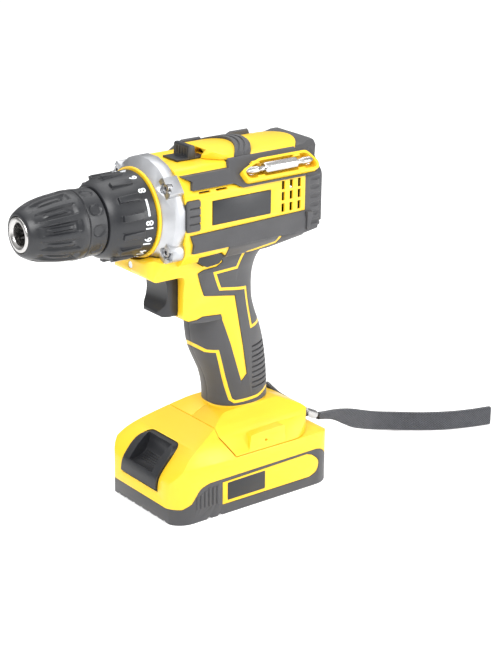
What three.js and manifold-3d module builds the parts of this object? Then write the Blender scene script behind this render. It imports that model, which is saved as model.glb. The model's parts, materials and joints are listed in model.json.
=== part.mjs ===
// A cordless drill driver: keyless chuck, torque collar, planetary gearing, slide-on battery
// and a wrist strap. Millimetres. The nose points along -X, the user's left is -Y, +Z is up,
// and the origin is the middle of the battery's underside.
import * as THREE from 'three';
import { mergeVertices } from 'three/addons/utils/BufferGeometryUtils.js';
import Module from 'manifold-3d';

const wasm = await Module();
wasm.setup();

// ---------------------------------------------------------------- driving dimensions
const GAP = 0.3; // clearance between pieces that touch or lie against each other
const SLIDE_GAP = 0.45; // clearance around pieces that slide or turn
const AXIS_Z = 186.6; // height of the chuck axis

// Barrel of the housing
const BARREL_HALF_WIDTH = 31.5;
const BARREL_FRONT = -49.7;
const BARREL_REAR = 36.6;
const CAP_LENGTH = 16.6; // of the cap over the barrel's rear
const DECK = 27; // flat top of the barrel, above the axis
const DECK_HALF_WIDTH = 20;
const SHOULDER = 13.5; // where the flat side turns into the sloped shoulder
const SIDE_BOTTOM = -21; // where the flat side turns under
const BELLY = -29;
const TAIL_FRONT = 12; // where the belly starts to rise towards the rear
const TAIL_SLOPE = 0.23;
const WALL = 2.4;

// Handle and neck
const NECK_HALF_WIDTH = 17;
const NECK_TOP_HALF_WIDTH = 24.5;
const HANDLE_HALF_WIDTH = 17;
const RUBBER = 1.6; // thickness of the soft grip
const PROUD = 0.4; // how far the grip stands above the shell
const STRIPE = 2.0; // width of the shell line left between two grip zones

// Battery and foot
const BATTERY_LENGTH = 121.4;
const BATTERY_WIDTH = 73;
const BATTERY_CORNER = 14;
const BATTERY_TOP = 34; // flat rear top, where the foot sits
const BATTERY_WALL = 2.2;
const FOOT_FRONT = -23;
const FOOT_REAR = 52;
const FOOT_TOP = 57;
const RAIL_NECK = 20; // half width of the rail's neck
const RAIL_HEAD = 23.5; // half width of the rail's head
const RAIL_NECK_TOP = 37.5;
const RAIL_HEAD_TOP = 41;
const RAIL_END = 38;
const TERMINAL_FRONT = 0;
const TERMINAL_LENGTH = 22;
const TERMINAL_HALF_WIDTH = 12;
const TERMINAL_TOP = 52;
const BLADE_PITCH = 8;
const BLADE_HALF = 0.5;
const BLADE_BOTTOM = 36;

// Drive
const SPINDLE_RADIUS = 5;
const MOTOR_RADIUS = 19;
const MOTOR_FRONT = -17;
const MOTOR_REAR = 34;
const MOTOR_WALL = 1.6;
const SHAFT_RADIUS = 1.6;
const MODULE = 0.8; // gear tooth size: pitch diameter over number of teeth
const SUN_TEETH = 12;
const PLANET_TEETH = 15;
const RING_TEETH = SUN_TEETH + 2 * PLANET_TEETH;
const PLANETS = 3;
const GEAR_FRONT = -39;
const GEAR_REAR = -31;

// Chuck
const BORE_RADIUS = 6.6;
const JAWS = 3;
const JAW_RADIUS = 2.6;
const JAW_LENGTH = 19;
const JAW_TILT = THREE.MathUtils.degToRad(15);
const JAW_TRAVEL = 14; // how far a jaw has slid back from its closed place
const CHUCK_NOSE = -140;
const CHUCK_REAR = -93.2;
const SLEEVE_GROOVES = 12;

// Wrist strap
const CORD_DIAMETER = 2.6;
const WEBBING_WIDTH = 12.4;
const WEBBING_THICKNESS = 3.2; // two layers of webbing

// ---------------------------------------------------------------- materials
const finish = (color, roughness, metalness = 0) => ({ color, roughness, metalness });
const YELLOW = finish(0xf2cf1d, 0.45);
const RUBBER_BLACK = finish(0x3b3c3f, 0.85);
const BLACK = finish(0x2b2c2f, 0.55);
const CHARCOAL = finish(0x4a4b50, 0.6);
const ALLOY = finish(0xc4c6c8, 0.45, 0.9);
const STEEL = finish(0xb9bbbd, 0.28, 1);
const COPPER = finish(0xb06a35, 0.4, 0.9);
const BRASS = finish(0xc9a24a, 0.35, 1);
const CELL_WRAP = finish(0x2f6f4f, 0.5);
const LENS = finish(0xe9eef2, 0.15);
const WEBBING = finish(0x2e2f33, 0.95);

// ---------------------------------------------------------------- solids
const drill = new THREE.Group();
const FAR = 400;

function solidFrom(geometry, matrix = new THREE.Matrix4()) {
  const bare = geometry.index ? geometry.clone() : geometry;
  bare.deleteAttribute('normal');
  bare.deleteAttribute('uv');
  const merged = mergeVertices(bare, 1e-4);
  merged.applyMatrix4(matrix);
  const vertProperties = new Float32Array(merged.attributes.position.array);
  const triVerts = new Uint32Array(merged.index.array);
  const kept = triVerts.filter((_, i) => isFace(triVerts, i - (i % 3)));
  if (signedVolume(vertProperties, kept) < 0) {
    kept.reverse();
  }
  return new wasm.Manifold(new wasm.Mesh({ numProp: 3, vertProperties, triVerts: kept }));
}

// True when a triangle's three corners are different vertices.
function isFace(index, first) {
  const [a, b, c] = index.subarray(first, first + 3);
  return a !== b && b !== c && c !== a;
}

function signedVolume(points, index) {
  const [a, b, c] = [new THREE.Vector3(), new THREE.Vector3(), new THREE.Vector3()];
  let volume = 0;
  for (let i = 0; i < index.length; i += 3) {
    a.fromArray(points, 3 * index[i]);
    b.fromArray(points, 3 * index[i + 1]);
    c.fromArray(points, 3 * index[i + 2]);
    volume += a.dot(b.cross(c)) / 6;
  }
  return volume;
}

function geometryFrom(solid) {
  const mesh = solid.getMesh();
  const geometry = new THREE.BufferGeometry();
  geometry.setAttribute('position', new THREE.BufferAttribute(mesh.vertProperties, 3));
  geometry.setIndex(new THREE.BufferAttribute(mesh.triVerts, 1));
  geometry.computeVertexNormals();
  return geometry;
}

function piece(name, solid, look) {
  const material = new THREE.MeshStandardMaterial(look);
  const mesh = new THREE.Mesh(geometryFrom(solid), material);
  mesh.name = name;
  drill.add(mesh);
}

function extruded(points, depth, basis, shift) {
  const shape = new THREE.Shape(points.map(([u, v]) => new THREE.Vector2(u, v)));
  const geometry = new THREE.ExtrudeGeometry(shape, { depth, bevelEnabled: false });
  return solidFrom(geometry, basis.setPosition(shift));
}

const axis = (x, y, z) => new THREE.Vector3(x, y, z);

// Outline of (y, z) points, run along X.
function alongX(points, from, to) {
  const basis = new THREE.Matrix4().makeBasis(axis(0, 1, 0), axis(0, 0, 1), axis(1, 0, 0));
  return extruded(points, to - from, basis, axis(from, 0, 0));
}

// Outline of (x, z) points, run along Y.
function alongY(points, from, to) {
  const basis = new THREE.Matrix4().makeBasis(axis(1, 0, 0), axis(0, 0, 1), axis(0, -1, 0));
  return extruded(points, to - from, basis, axis(0, to, 0));
}

// Outline of (x, y) points, run along Z.
function alongZ(points, from, to) {
  return extruded(points, to - from, new THREE.Matrix4(), axis(0, 0, from));
}

function block(x0, x1, y0, y1, z0, z1) {
  const geometry = new THREE.BoxGeometry(x1 - x0, y1 - y0, z1 - z0);
  const middle = new THREE.Matrix4().setPosition((x0 + x1) / 2, (y0 + y1) / 2, (z0 + z1) / 2);
  return solidFrom(geometry, middle);
}

// Solid turned about a line along X. The profile is a closed loop of (x, radius) points.
function turned(profile, sides, y = 0, z = AXIS_Z) {
  const loop = [...profile, profile[0]].map(([x, r]) => new THREE.Vector2(r, x));
  const geometry = new THREE.LatheGeometry(loop, sides);
  const placed = new THREE.Matrix4().makeRotationZ(-Math.PI / 2).setPosition(0, y, z);
  return solidFrom(geometry, placed);
}

// Straight round bar between two points.
function rod(from, to, radius, sides = 16) {
  const way = new THREE.Vector3().subVectors(to, from);
  const geometry = new THREE.CylinderGeometry(radius, radius, way.length(), sides);
  const turn = new THREE.Quaternion().setFromUnitVectors(axis(0, 1, 0), way.clone().normalize());
  const middle = from.clone().addScaledVector(way, 0.5);
  return solidFrom(geometry, new THREE.Matrix4().compose(middle, turn, axis(1, 1, 1)));
}

const rodX = (x0, x1, y, z, radius, sides) => rod(axis(x0, y, z), axis(x1, y, z), radius, sides);
const rodY = (x, y0, y1, z, radius, sides) => rod(axis(x, y0, z), axis(x, y1, z), radius, sides);

// Section swept along a smooth path through a few points.
function swept(section, points, steps) {
  const shape = new THREE.Shape(section.map(([u, v]) => new THREE.Vector2(u, v)));
  const path = new THREE.CatmullRomCurve3(points.map((p) => axis(...p)));
  return solidFrom(new THREE.ExtrudeGeometry(shape, { steps, extrudePath: path }));
}

function circle(radius, sides) {
  const corner = (i) => (2 * Math.PI * i) / sides;
  return Array.from({ length: sides }, (_, i) => [
    radius * Math.cos(corner(i)),
    radius * Math.sin(corner(i)),
  ]);
}

const joined = (solids) => solids.reduce((all, next) => all.add(next));
const cutBy = (solid, cutters) => cutters.reduce((left, cutter) => left.subtract(cutter), solid);

// ---------------------------------------------------------------- outlines
// Each corner cut back by the radius and bridged by a short arc.
function rounded(points, radius, steps = 3) {
  const result = [];
  points.forEach((point, i) => {
    const corner = new THREE.Vector2(...point);
    const before = new THREE.Vector2(...points.at(i - 1));
    const after = new THREE.Vector2(...points[(i + 1) % points.length]);
    const reach = Math.min(radius, before.distanceTo(corner) / 2, after.distanceTo(corner) / 2);
    const start = corner.clone().lerp(before, reach / before.distanceTo(corner));
    const end = corner.clone().lerp(after, reach / after.distanceTo(corner));
    const bend = new THREE.QuadraticBezierCurve(start, corner, end);
    bend.getPoints(steps).forEach((p) => result.push([p.x, p.y]));
  });
  return result.filter((p, i) => distance(p, result.at(i - 1)) > 1e-3);
}

const distance = (a, b) => Math.hypot(a[0] - b[0], a[1] - b[1]);

// The same outline moved inward by a distance (outward when it is negative).
function inset(points, amount) {
  const turn = Math.sign(THREE.ShapeUtils.area(points.map(([x, y]) => ({ x, y }))));
  return points.map((point, i) => {
    const here = new THREE.Vector2(...point);
    const into = here.clone().sub(new THREE.Vector2(...points.at(i - 1))).normalize();
    const out = new THREE.Vector2(...points[(i + 1) % points.length]).sub(here).normalize();
    const normal = new THREE.Vector2(-into.y - out.y, into.x + out.x).normalize();
    const stretch = 1 / Math.max(0.35, normal.dot(new THREE.Vector2(-into.y, into.x)));
    return [point[0] + normal.x * amount * stretch * turn, point[1] + normal.y * amount * stretch * turn];
  });
}

// Outline given for y >= 0 only, completed by its mirror image.
const bothSides = (half) => [...half, ...half.map(([y, z]) => [-y, z]).reverse()];
const onAxis = (points) => points.map(([u, v]) => [u, v + AXIS_Z]);

// ---------------------------------------------------------------- housing shape
const barrelSection = onAxis(
  bothSides([
    [NECK_TOP_HALF_WIDTH, BELLY],
    [BARREL_HALF_WIDTH, SIDE_BOTTOM],
    [BARREL_HALF_WIDTH, SHOULDER],
    [DECK_HALF_WIDTH, DECK],
  ]),
);

// Front view of the neck: wide under the barrel, as narrow as the handle lower down.
const neckSection = onAxis(
  bothSides([
    [NECK_HALF_WIDTH - 0.6, -76],
    [NECK_HALF_WIDTH, -48],
    [NECK_HALF_WIDTH + 2.5, -37],
    [NECK_TOP_HALF_WIDTH, -22],
    [NECK_TOP_HALF_WIDTH, -10],
  ]),
);

const CHIN_TOP = -23.5;
const CHIN_FRONT = -66.5;
const LENS_HEIGHT = -30.6; // below the axis
const LENS_RADIUS = 2;

// Side view of the neck: the chin, the trigger opening and the finger rest. The handle is its back.
const NECK_REAR = -4;
const neckOutline = onAxis([
  [CHIN_FRONT, CHIN_TOP],
  [CHIN_FRONT, -30],
  [-59, -37.4],
  [-41, -37.6],
  [-41, -60.6],
  [-44, -66.5],
  [-38, -71.5],
  [-24, -75],
  [NECK_REAR, -75],
  [NECK_REAR, -12],
  [BARREL_FRONT, -12],
  [BARREL_FRONT, CHIN_TOP],
]);

// Side view of the hollow inside the neck, where the switch sits.
const neckHollow = onAxis([
  [-36, -12],
  [-36, -64],
  [-18, -71],
  [NECK_REAR, -71],
  [NECK_REAR, -12],
]);

// Handle: height, x of its front edge, x of its back edge and half width.
const HANDLE_BOTTOM = FOOT_TOP - 5;
const HANDLE_TOP = AXIS_Z - 24;
const HANDLE_SIDES = 22;
const HANDLE_STEPS = 13;
const handleStations = [
  [HANDLE_BOTTOM, -10.5, 30.4, 0],
  [HANDLE_BOTTOM + 13.5, -11, 30.2, 0],
  [HANDLE_BOTTOM + 24.5, -13.6, 29.6, 0],
  [HANDLE_BOTTOM + 35.5, -18.8, 28.4, 0],
  [HANDLE_BOTTOM + 44, -22.4, 26.8, 0],
  [HANDLE_BOTTOM + 52.5, -23.9, 24.3, 0],
  [HANDLE_TOP - 49.6, -24.6, 20.9, 0],
  [HANDLE_TOP - 41, -25.2, 18.2, 0],
  [HANDLE_TOP - 31.6, -26, 17.4, 0],
  [HANDLE_TOP - 22.6, -26, 17.8, 0.4],
  [HANDLE_TOP - 15, -26, 19.4, 2],
  [HANDLE_TOP - 9.6, -26, 22.5, 3.6],
  [HANDLE_TOP - 4.6, -26, 28, 5.6],
  [HANDLE_TOP, -26, 33.5, 7],
];
const handleEdges = new THREE.CubicInterpolant(
  handleStations.map((station) => station[0]),
  handleStations.flatMap((station) => station.slice(1)),
  3,
);

// The grip's front is squarer than an ellipse, and its back is round.
const FRONT_SQUARENESS = 0.86;
const BACK_SQUARENESS = 1;
const squared = (value, power) => Math.sign(value) * Math.abs(value) ** power;

function handleSolid(amount) {
  const geometry = new THREE.CylinderGeometry(1, 1, 1, HANDLE_SIDES, HANDLE_STEPS);
  geometry.rotateX(Math.PI / 2);
  const position = geometry.attributes.position;
  for (let i = 0; i < position.count; i += 1) {
    const height = THREE.MathUtils.lerp(HANDLE_BOTTOM, HANDLE_TOP, position.getZ(i) + 0.5);
    const [front, back, wider] = handleEdges.evaluate(height);
    const reach = Math.hypot(position.getX(i), position.getY(i));
    const power = position.getX(i) < 0 ? FRONT_SQUARENESS : BACK_SQUARENESS;
    const along = squared(position.getX(i), power) * ((back - front) / 2 - amount);
    const across = squared(position.getY(i), power) * (HANDLE_HALF_WIDTH + wider - amount);
    position.setXYZ(i, (front + back) / 2 + reach * along, reach * across, height);
  }
  return solidFrom(geometry);
}

// Side view of what is left out under the barrel, where its belly rises towards the rear.
function tailZone(amount) {
  const reach = BARREL_REAR + CAP_LENGTH + 10;
  return onAxis([
    [TAIL_FRONT, BELLY - 1],
    [TAIL_FRONT, BELLY + amount],
    [reach, BELLY + amount + TAIL_SLOPE * (reach - TAIL_FRONT)],
    [reach, BELLY - 1],
  ]);
}

function barrelSolid(amount, front = BARREL_FRONT, rear = BARREL_REAR) {
  const straight = alongX(inset(barrelSection, amount), front, rear);
  return straight.subtract(alongY(tailZone(Math.max(amount, 0)), -FAR, FAR));
}

function neckSolid(amount) {
  const fromFront = alongX(inset(neckSection, amount), CHIN_FRONT - FAR, FAR);
  const fromSide = alongY(rounded(inset(neckOutline, amount), 2.5, 2), -FAR, FAR);
  return fromFront.intersect(fromSide);
}

function neckCavity(amount) {
  const fromFront = alongX(inset(neckSection, amount), -FAR, FAR);
  return fromFront.intersect(alongY(neckHollow, -FAR, FAR));
}

const bodySolid = (amount) => joined([barrelSolid(amount), neckSolid(amount), handleSolid(amount)]);

// ---------------------------------------------------------------- base: battery and foot shape
const HALF_LENGTH = BATTERY_LENGTH / 2;
const HALF_BATTERY = BATTERY_WIDTH / 2;

const baseSide = [
  [-HALF_LENGTH, 0],
  [-HALF_LENGTH - 0.6, 20],
  [-HALF_LENGTH + 1.2, 27.5],
  [-HALF_LENGTH + 10, 37.5],
  [-HALF_LENGTH + 19, 43],
  [FOOT_FRONT - 1, 50.5],
  [FOOT_FRONT + 11, FOOT_TOP - 1],
  [30, FOOT_TOP],
  [FOOT_REAR - 8, FOOT_TOP - 6],
  [FOOT_REAR, FOOT_TOP - 14],
  [FOOT_REAR + 1, BATTERY_TOP],
  [HALF_LENGTH - 2, BATTERY_TOP - 1],
  [HALF_LENGTH, BATTERY_TOP - 8],
  [HALF_LENGTH, 0],
];

const baseFront = bothSides([
  [HALF_BATTERY, 0],
  [HALF_BATTERY, 27],
  [HALF_BATTERY - 1.5, BATTERY_TOP],
  [HALF_BATTERY - 6, 43],
  [HALF_BATTERY - 13, 51],
  [HALF_BATTERY - 20, FOOT_TOP],
]);

function roundedPlan(x0, x1, halfWidth, frontCorner, rearCorner) {
  const arc = (cx, cy, radius, from) =>
    Array.from({ length: 5 }, (_, i) => {
      const angle = from + (i * Math.PI) / 8;
      return [cx + radius * Math.cos(angle), cy + radius * Math.sin(angle)];
    });
  return [
    ...arc(x1 - rearCorner, halfWidth - rearCorner, rearCorner, 0),
    ...arc(x0 + frontCorner, halfWidth - frontCorner, frontCorner, Math.PI / 2),
    ...arc(x0 + frontCorner, frontCorner - halfWidth, frontCorner, Math.PI),
    ...arc(x1 - rearCorner, rearCorner - halfWidth, rearCorner, (3 * Math.PI) / 2),
  ];
}

const basePlan = roundedPlan(-HALF_LENGTH - 1, HALF_LENGTH, HALF_BATTERY, BATTERY_CORNER, BATTERY_CORNER);
const footPlan = roundedPlan(FOOT_FRONT - 20, FOOT_REAR, HALF_BATTERY - 1, 4, 26);

function baseSolid(amount) {
  const views = [
    alongY(inset(baseSide, amount), -FAR, FAR),
    alongX(inset(baseFront, amount), -FAR, FAR),
    alongZ(inset(basePlan, amount), -FAR, FAR),
  ];
  return views.reduce((kept, view) => kept.intersect(view));
}

// Side view of the space that the foot takes from the base.
const footRegion = (amount) => [
  [FOOT_FRONT + amount, FAR],
  [FOOT_FRONT + amount, 45],
  [FOOT_FRONT + 4 + amount, 38.5 + amount],
  [FOOT_FRONT + 13 + amount, BATTERY_TOP + amount],
  [FAR, BATTERY_TOP + amount],
  [FAR, FAR],
];

function railSolid(amount, x0, x1) {
  const section = bothSides([
    [RAIL_NECK + amount, BATTERY_TOP - 3],
    [RAIL_NECK + amount, RAIL_NECK_TOP - amount],
    [RAIL_HEAD + amount, RAIL_NECK_TOP - amount],
    [RAIL_HEAD + amount, RAIL_HEAD_TOP + amount],
  ]);
  return alongX(section, x0, x1);
}

// Straight hole through the rear of the foot that the strap's cord is threaded through.
const CORD_HOLE_FROM = axis(FOOT_REAR + 6, -13, FOOT_TOP - 21);
const CORD_HOLE_TO = axis(FOOT_REAR - 12, 8, FOOT_TOP - 2);

function footSolid() {
  const outer = baseSolid(0).intersect(alongZ(footPlan, -FAR, FAR));
  const foot = outer.intersect(alongY(footRegion(GAP / 2), -FAR, FAR));
  return foot.subtract(railSolid(SLIDE_GAP, FOOT_FRONT - 1, RAIL_END + GAP));
}

// ---------------------------------------------------------------- soft grip zones
// Side views. The zones run past the handle's edges, so that the grip wraps round them.
const PAST = 70;
const GRIP_BOTTOM = FOOT_TOP + 0.8;
const gripZone = [
  ...onAxis([
    [-19, -20.5],
    [-16, -33],
    [-19.5, -35.5],
    [-29, -36],
    [-32.5, -37.5],
    [-26, -53],
    [-3.5, -57],
    [3, -90],
    [6.2, -109],
    [2.1, -113.5],
    [-6.4, -87],
    [-13.6, -67.3],
    [-27, -66],
    [-36, -69.5],
    [-PAST, -69.5],
  ]),
  [-PAST, GRIP_BOTTOM],
  [PAST, GRIP_BOTTOM],
  ...onAxis([[PAST, -20.5]]),
];

// Zone of the pad that fills the web of the hand.
const webZone = onAxis([
  [20, -16],
  [17, -25],
  [-1.3, -28.4],
  [-4, -39],
  [-20, -39.6],
  [-14.6, -51],
  [5.2, -54.2],
  [10, -80],
  [20, -79.5],
  [PAST, -79.5],
  [PAST, -16],
]);

// Zone of the lower front of the grip and of the ring round the bottom of the handle.
const lowerZone = onAxis([
  [-PAST, -87],
  [-25.5, -87],
  [-19.6, -91],
  [-14, -91.3],
  [-7.7, -111.6],
  [-4, -124.5],
  [-1.7, -126.3],
  [15, -125.4],
  [23, -123.4],
  [PAST, -119],
  [PAST, -FAR],
  [-PAST, -FAR],
]);

// ---------------------------------------------------------------- mouldings on the barrel
const TRAY_FRONT = -9.8;
const TRAY_LENGTH = 56;
const upperSpar = onAxis([
  [-44.5, SHOULDER + 3],
  [-42, SHOULDER + 7],
  [-48, 23.6],
  [-14.5, 23.6],
  [-11, DECK + 4],
  [BARREL_REAR, DECK + 4],
  [BARREL_REAR, SHOULDER],
  [TRAY_FRONT, SHOULDER],
  [TRAY_FRONT - 6, SHOULDER + 3],
]);
const lowerSpar = onAxis([
  [-46.5, -9.6],
  [-44.5, -15],
  [-45.5, -20],
  [BARREL_REAR, -20],
  [BARREL_REAR, -8],
]);
const frontPad = rounded(onAxis([[-49.4, -7], [-49.4, 11], [-40, 11], [-40, -7]]), 1.5, 2);
const namePanel = onAxis([[-31, -5.5], [-31, 8.5], [10.8, 8.5], [10.8, -5.5]]);
const buttonHex = onAxis([
  [-37.5, -25],
  [-22, -24.3],
  [-17.5, -28],
  [-21, -32],
  [-30, -32.8],
  [-36, -29],
]);

const SPAR_PROUD = 1.6;
const PANEL_DEPTH = 0.8;

// A skin over the body inside a side-view zone, on one side of the drill.
function skin(zone, side, outward, inward) {
  const prism = side < 0 ? alongY(zone, -FAR, -GAP / 2) : alongY(zone, GAP / 2, FAR);
  const reach = block(-FAR, BARREL_REAR - GAP / 2, -FAR, FAR, 0, FAR);
  return prism.intersect(bodySolid(-outward)).subtract(bodySolid(inward)).intersect(reach);
}

// What the deck's own pieces cover, left out of the mouldings on the shoulders.
const deckRoom = () => block(-FAR, FAR, -DECK_HALF_WIDTH, DECK_HALF_WIDTH, AXIS_Z + DECK - 4, FAR);

// ---------------------------------------------------------------- housing shells
const VENT_COLUMNS = [19, 25, 31];
const VENT_ROWS = [9.8, 3.2, -3.8];
const VENT_WIDTH = 1.6;
const VENT_HEIGHT = 5;

function ventSlots() {
  const slot = (x, z) =>
    block(x, x + VENT_WIDTH, -FAR, FAR, AXIS_Z + z - VENT_HEIGHT / 2, AXIS_Z + z + VENT_HEIGHT / 2);
  return VENT_COLUMNS.flatMap((x) => VENT_ROWS.map((z) => slot(x, z)));
}

const TRIGGER_HALF_WIDTH = 11;
const TRIGGER_TOP = AXIS_Z - 38.6;
const TRIGGER_BOTTOM = AXIS_Z - 64;
const TRIGGER_TRAVEL = 6;

const KNOB_HALF_WIDTH = 7;
const KNOB_FRONT = -30.8;
const KNOB_LENGTH = 5.4;
const KNOB_TOP = 33; // above the axis
const PLATE_FRONT = -38.5; // thin plate under the knob
const PLATE_LENGTH = 19.5;
const PLATE_THICKNESS = 1;
const KNOB_TRAVEL = 7;
const KNOB_STEM = 2.5; // half width of the stem in its slot
const STEM_DEPTH = 3.6;

function housingOpenings() {
  const triggerHole = block(
    -60,
    -22,
    -TRIGGER_HALF_WIDTH - SLIDE_GAP,
    TRIGGER_HALF_WIDTH + SLIDE_GAP,
    TRIGGER_BOTTOM - SLIDE_GAP,
    TRIGGER_TOP + SLIDE_GAP,
  );
  const stemSlot = block(
    KNOB_FRONT + KNOB_LENGTH / 2 - KNOB_STEM - SLIDE_GAP,
    KNOB_FRONT + KNOB_LENGTH / 2 + KNOB_STEM + SLIDE_GAP + KNOB_TRAVEL,
    -KNOB_STEM - SLIDE_GAP,
    KNOB_STEM + SLIDE_GAP,
    AXIS_Z + DECK - 8,
    AXIS_Z + DECK + 5,
  );
  const buttonHole = alongY(inset(buttonHex, -SLIDE_GAP), -FAR, FAR);
  const cordHole = rod(CORD_HOLE_FROM, CORD_HOLE_TO, CORD_DIAMETER / 2 + SLIDE_GAP, 12);
  const lensHole = rodX(
    CHIN_FRONT - 1,
    CHIN_FRONT + 3.6 + GAP,
    0,
    AXIS_Z + LENS_HEIGHT,
    LENS_RADIUS + GAP,
    14,
  );
  return [triggerHole, stemSlot, buttonHole, cordHole, lensHole];
}

function shellZones() {
  const zones = [gripZone, upperSpar, lowerSpar, frontPad].map((zone) => inset(zone, -GAP));
  const recesses = zones.map((zone) => alongY(zone, -FAR, FAR).subtract(bodySolid(RUBBER + GAP)));
  const panel = alongY(inset(namePanel, -GAP), -FAR, FAR);
  return [...recesses, panel.subtract(bodySolid(PANEL_DEPTH + GAP))];
}

// The handle is hollow down to the foot, and the foot's roof stays closed over the rail.
function housingCavity() {
  const inner = WALL + RUBBER + GAP;
  const mouth = turned(
    [
      [BARREL_FRONT - 30, 0],
      [BARREL_FRONT - 30, RING_RADIUS + 2 * GAP],
      [CASE_FACE, RING_RADIUS + 2 * GAP],
      [CASE_FACE + 5.2, CASE_RADIUS - 0.2],
      [CASE_FACE + 7.2, CASE_RADIUS + GAP],
      [BARREL_FRONT, CASE_RADIUS + GAP],
      [BARREL_FRONT, 0],
    ],
    32,
  );
  const bossRoom = corners.map(([y, z]) =>
    rodX(BARREL_FRONT - 30, BARREL_FRONT, y, z, CASE_BOSS_RADIUS + GAP, 14),
  );
  const bore = barrelSolid(WALL + RUBBER + GAP, BARREL_FRONT - 1, BARREL_REAR + 1);
  const terminalRoom = block(
    TERMINAL_FRONT - GAP,
    TERMINAL_FRONT + TERMINAL_LENGTH + GAP,
    -TERMINAL_HALF_WIDTH - GAP,
    TERMINAL_HALF_WIDTH + GAP,
    RAIL_HEAD_TOP,
    TERMINAL_TOP + GAP,
  );
  return [bore, terminalRoom, neckCavity(inner), handleSolid(inner), mouth, ...bossRoom];
}

// Bosses that the housing screws pass through, as (x, z).
const SCREW_POINTS = [[2, AXIS_Z - 31], [10, 96], [12, 70], [32, AXIS_Z - 24]];
const SCREW_RADIUS = 1.6;
const BOSS_RADIUS = 4;

function makeHousing() {
  const outside = joined([bodySolid(0), footSolid()]);
  const hollow = cutBy(outside, housingCavity());
  const pillars = SCREW_POINTS.map(([x, z]) => rodY(x, -FAR, FAR, z, BOSS_RADIUS, 12));
  const insides = joined(pillars).intersect(bodySolid(WALL));
  const whole = cutBy(joined([hollow, insides]), [
    ...shellZones(),
    ...ventSlots(),
    ...housingOpenings(),
    ...SCREW_POINTS.map(([x, z]) => rodY(x, -FAR, FAR, z, SCREW_RADIUS + GAP, 12)),
  ]);
  piece('housing_left', whole.intersect(block(-FAR, FAR, -FAR, -GAP / 2, 0, FAR)), YELLOW);
  piece('housing_right', whole.intersect(block(-FAR, FAR, GAP / 2, FAR, 0, FAR)), YELLOW);
}

// ---------------------------------------------------------------- soft grip
const HALF_STRIPE = STRIPE / 2;
const sideways = (zone, amount) => alongY(inset(zone, amount), -FAR, FAR);

function makeGrip(side, suffix) {
  const all = skin(gripZone, side, PROUD, RUBBER);
  const lines = [webZone, lowerZone].map((zone) => sideways(zone, -HALF_STRIPE));
  piece(`grip_web_${suffix}`, all.intersect(sideways(webZone, HALF_STRIPE)), RUBBER_BLACK);
  piece(`grip_main_${suffix}`, cutBy(all, lines), RUBBER_BLACK);
  piece(`grip_lower_${suffix}`, all.intersect(sideways(lowerZone, HALF_STRIPE)), RUBBER_BLACK);
}

// ---------------------------------------------------------------- bit tray and bit
const BIT_LENGTH = 50;
const BIT_RADIUS = 3.4; // over the corners of the hexagon
const TIP_LENGTH = 10;
const HEXAGON_FROM = 13; // from either end of the bit to its hexagonal middle
const NECK_RADIUS = 1.9;
const TRAY_WIDTH = 13;
const TRAY_DEPTH = 6;
const TRAY_WALL = 1.6;
const TRAY_TILT = Math.atan2(BARREL_HALF_WIDTH - DECK_HALF_WIDTH, DECK - SHOULDER);
const TRAY_PROUD = 2.6; // how far the tray's middle stands outside the middle of the shoulder
const TRAY_PLACE = axis(
  0,
  -(BARREL_HALF_WIDTH + DECK_HALF_WIDTH) / 2 - TRAY_PROUD,
  AXIS_Z + (SHOULDER + DECK) / 2,
);
const CLIP_LENGTH = 5;
const CLIP_PLACES = [10, TRAY_LENGTH - 16];

// A block in the tray's own frame: u along the drill, v up the slope and w out of it.
function onShoulder(u0, u1, v0, v1, w0, w1) {
  const geometry = new THREE.BoxGeometry(u1 - u0, w1 - w0, v1 - v0);
  geometry.translate((u0 + u1) / 2, -(w0 + w1) / 2, (v0 + v1) / 2);
  const turn = new THREE.Matrix4().makeRotationX(-TRAY_TILT).setPosition(TRAY_PLACE);
  return solidFrom(geometry, turn);
}

function trayBlock(amount) {
  const half = TRAY_WIDTH / 2 + amount;
  const rear = TRAY_FRONT + TRAY_LENGTH + amount;
  return onShoulder(TRAY_FRONT - amount, rear, -half, half, -TRAY_DEPTH / 2 - amount, TRAY_DEPTH);
}

function makeTray() {
  const half = TRAY_WIDTH / 2;
  const rear = TRAY_FRONT + TRAY_LENGTH;
  const outer = onShoulder(TRAY_FRONT, rear, -half, half, -TRAY_DEPTH / 2, TRAY_DEPTH / 2);
  const inner = TRAY_DEPTH / 2 - TRAY_WALL;
  const hollow = onShoulder(
    TRAY_FRONT + TRAY_WALL,
    rear - TRAY_WALL,
    -half + TRAY_WALL,
    half - TRAY_WALL,
    -inner,
    TRAY_DEPTH,
  );
  const clips = CLIP_PLACES.flatMap((u) =>
    [-1, 1].map((end) => {
      const edge = end * (BIT_RADIUS + GAP);
      const [v0, v1] = [edge, end * (half - TRAY_WALL / 2)].sort((p, q) => p - q);
      const from = TRAY_FRONT + u;
      return onShoulder(from, from + CLIP_LENGTH, v0, v1, -inner - 0.2, TRAY_DEPTH / 2 - 0.4);
    }),
  );
  piece('bit_tray', joined([outer.subtract(hollow), ...clips]), YELLOW);
}

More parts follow.
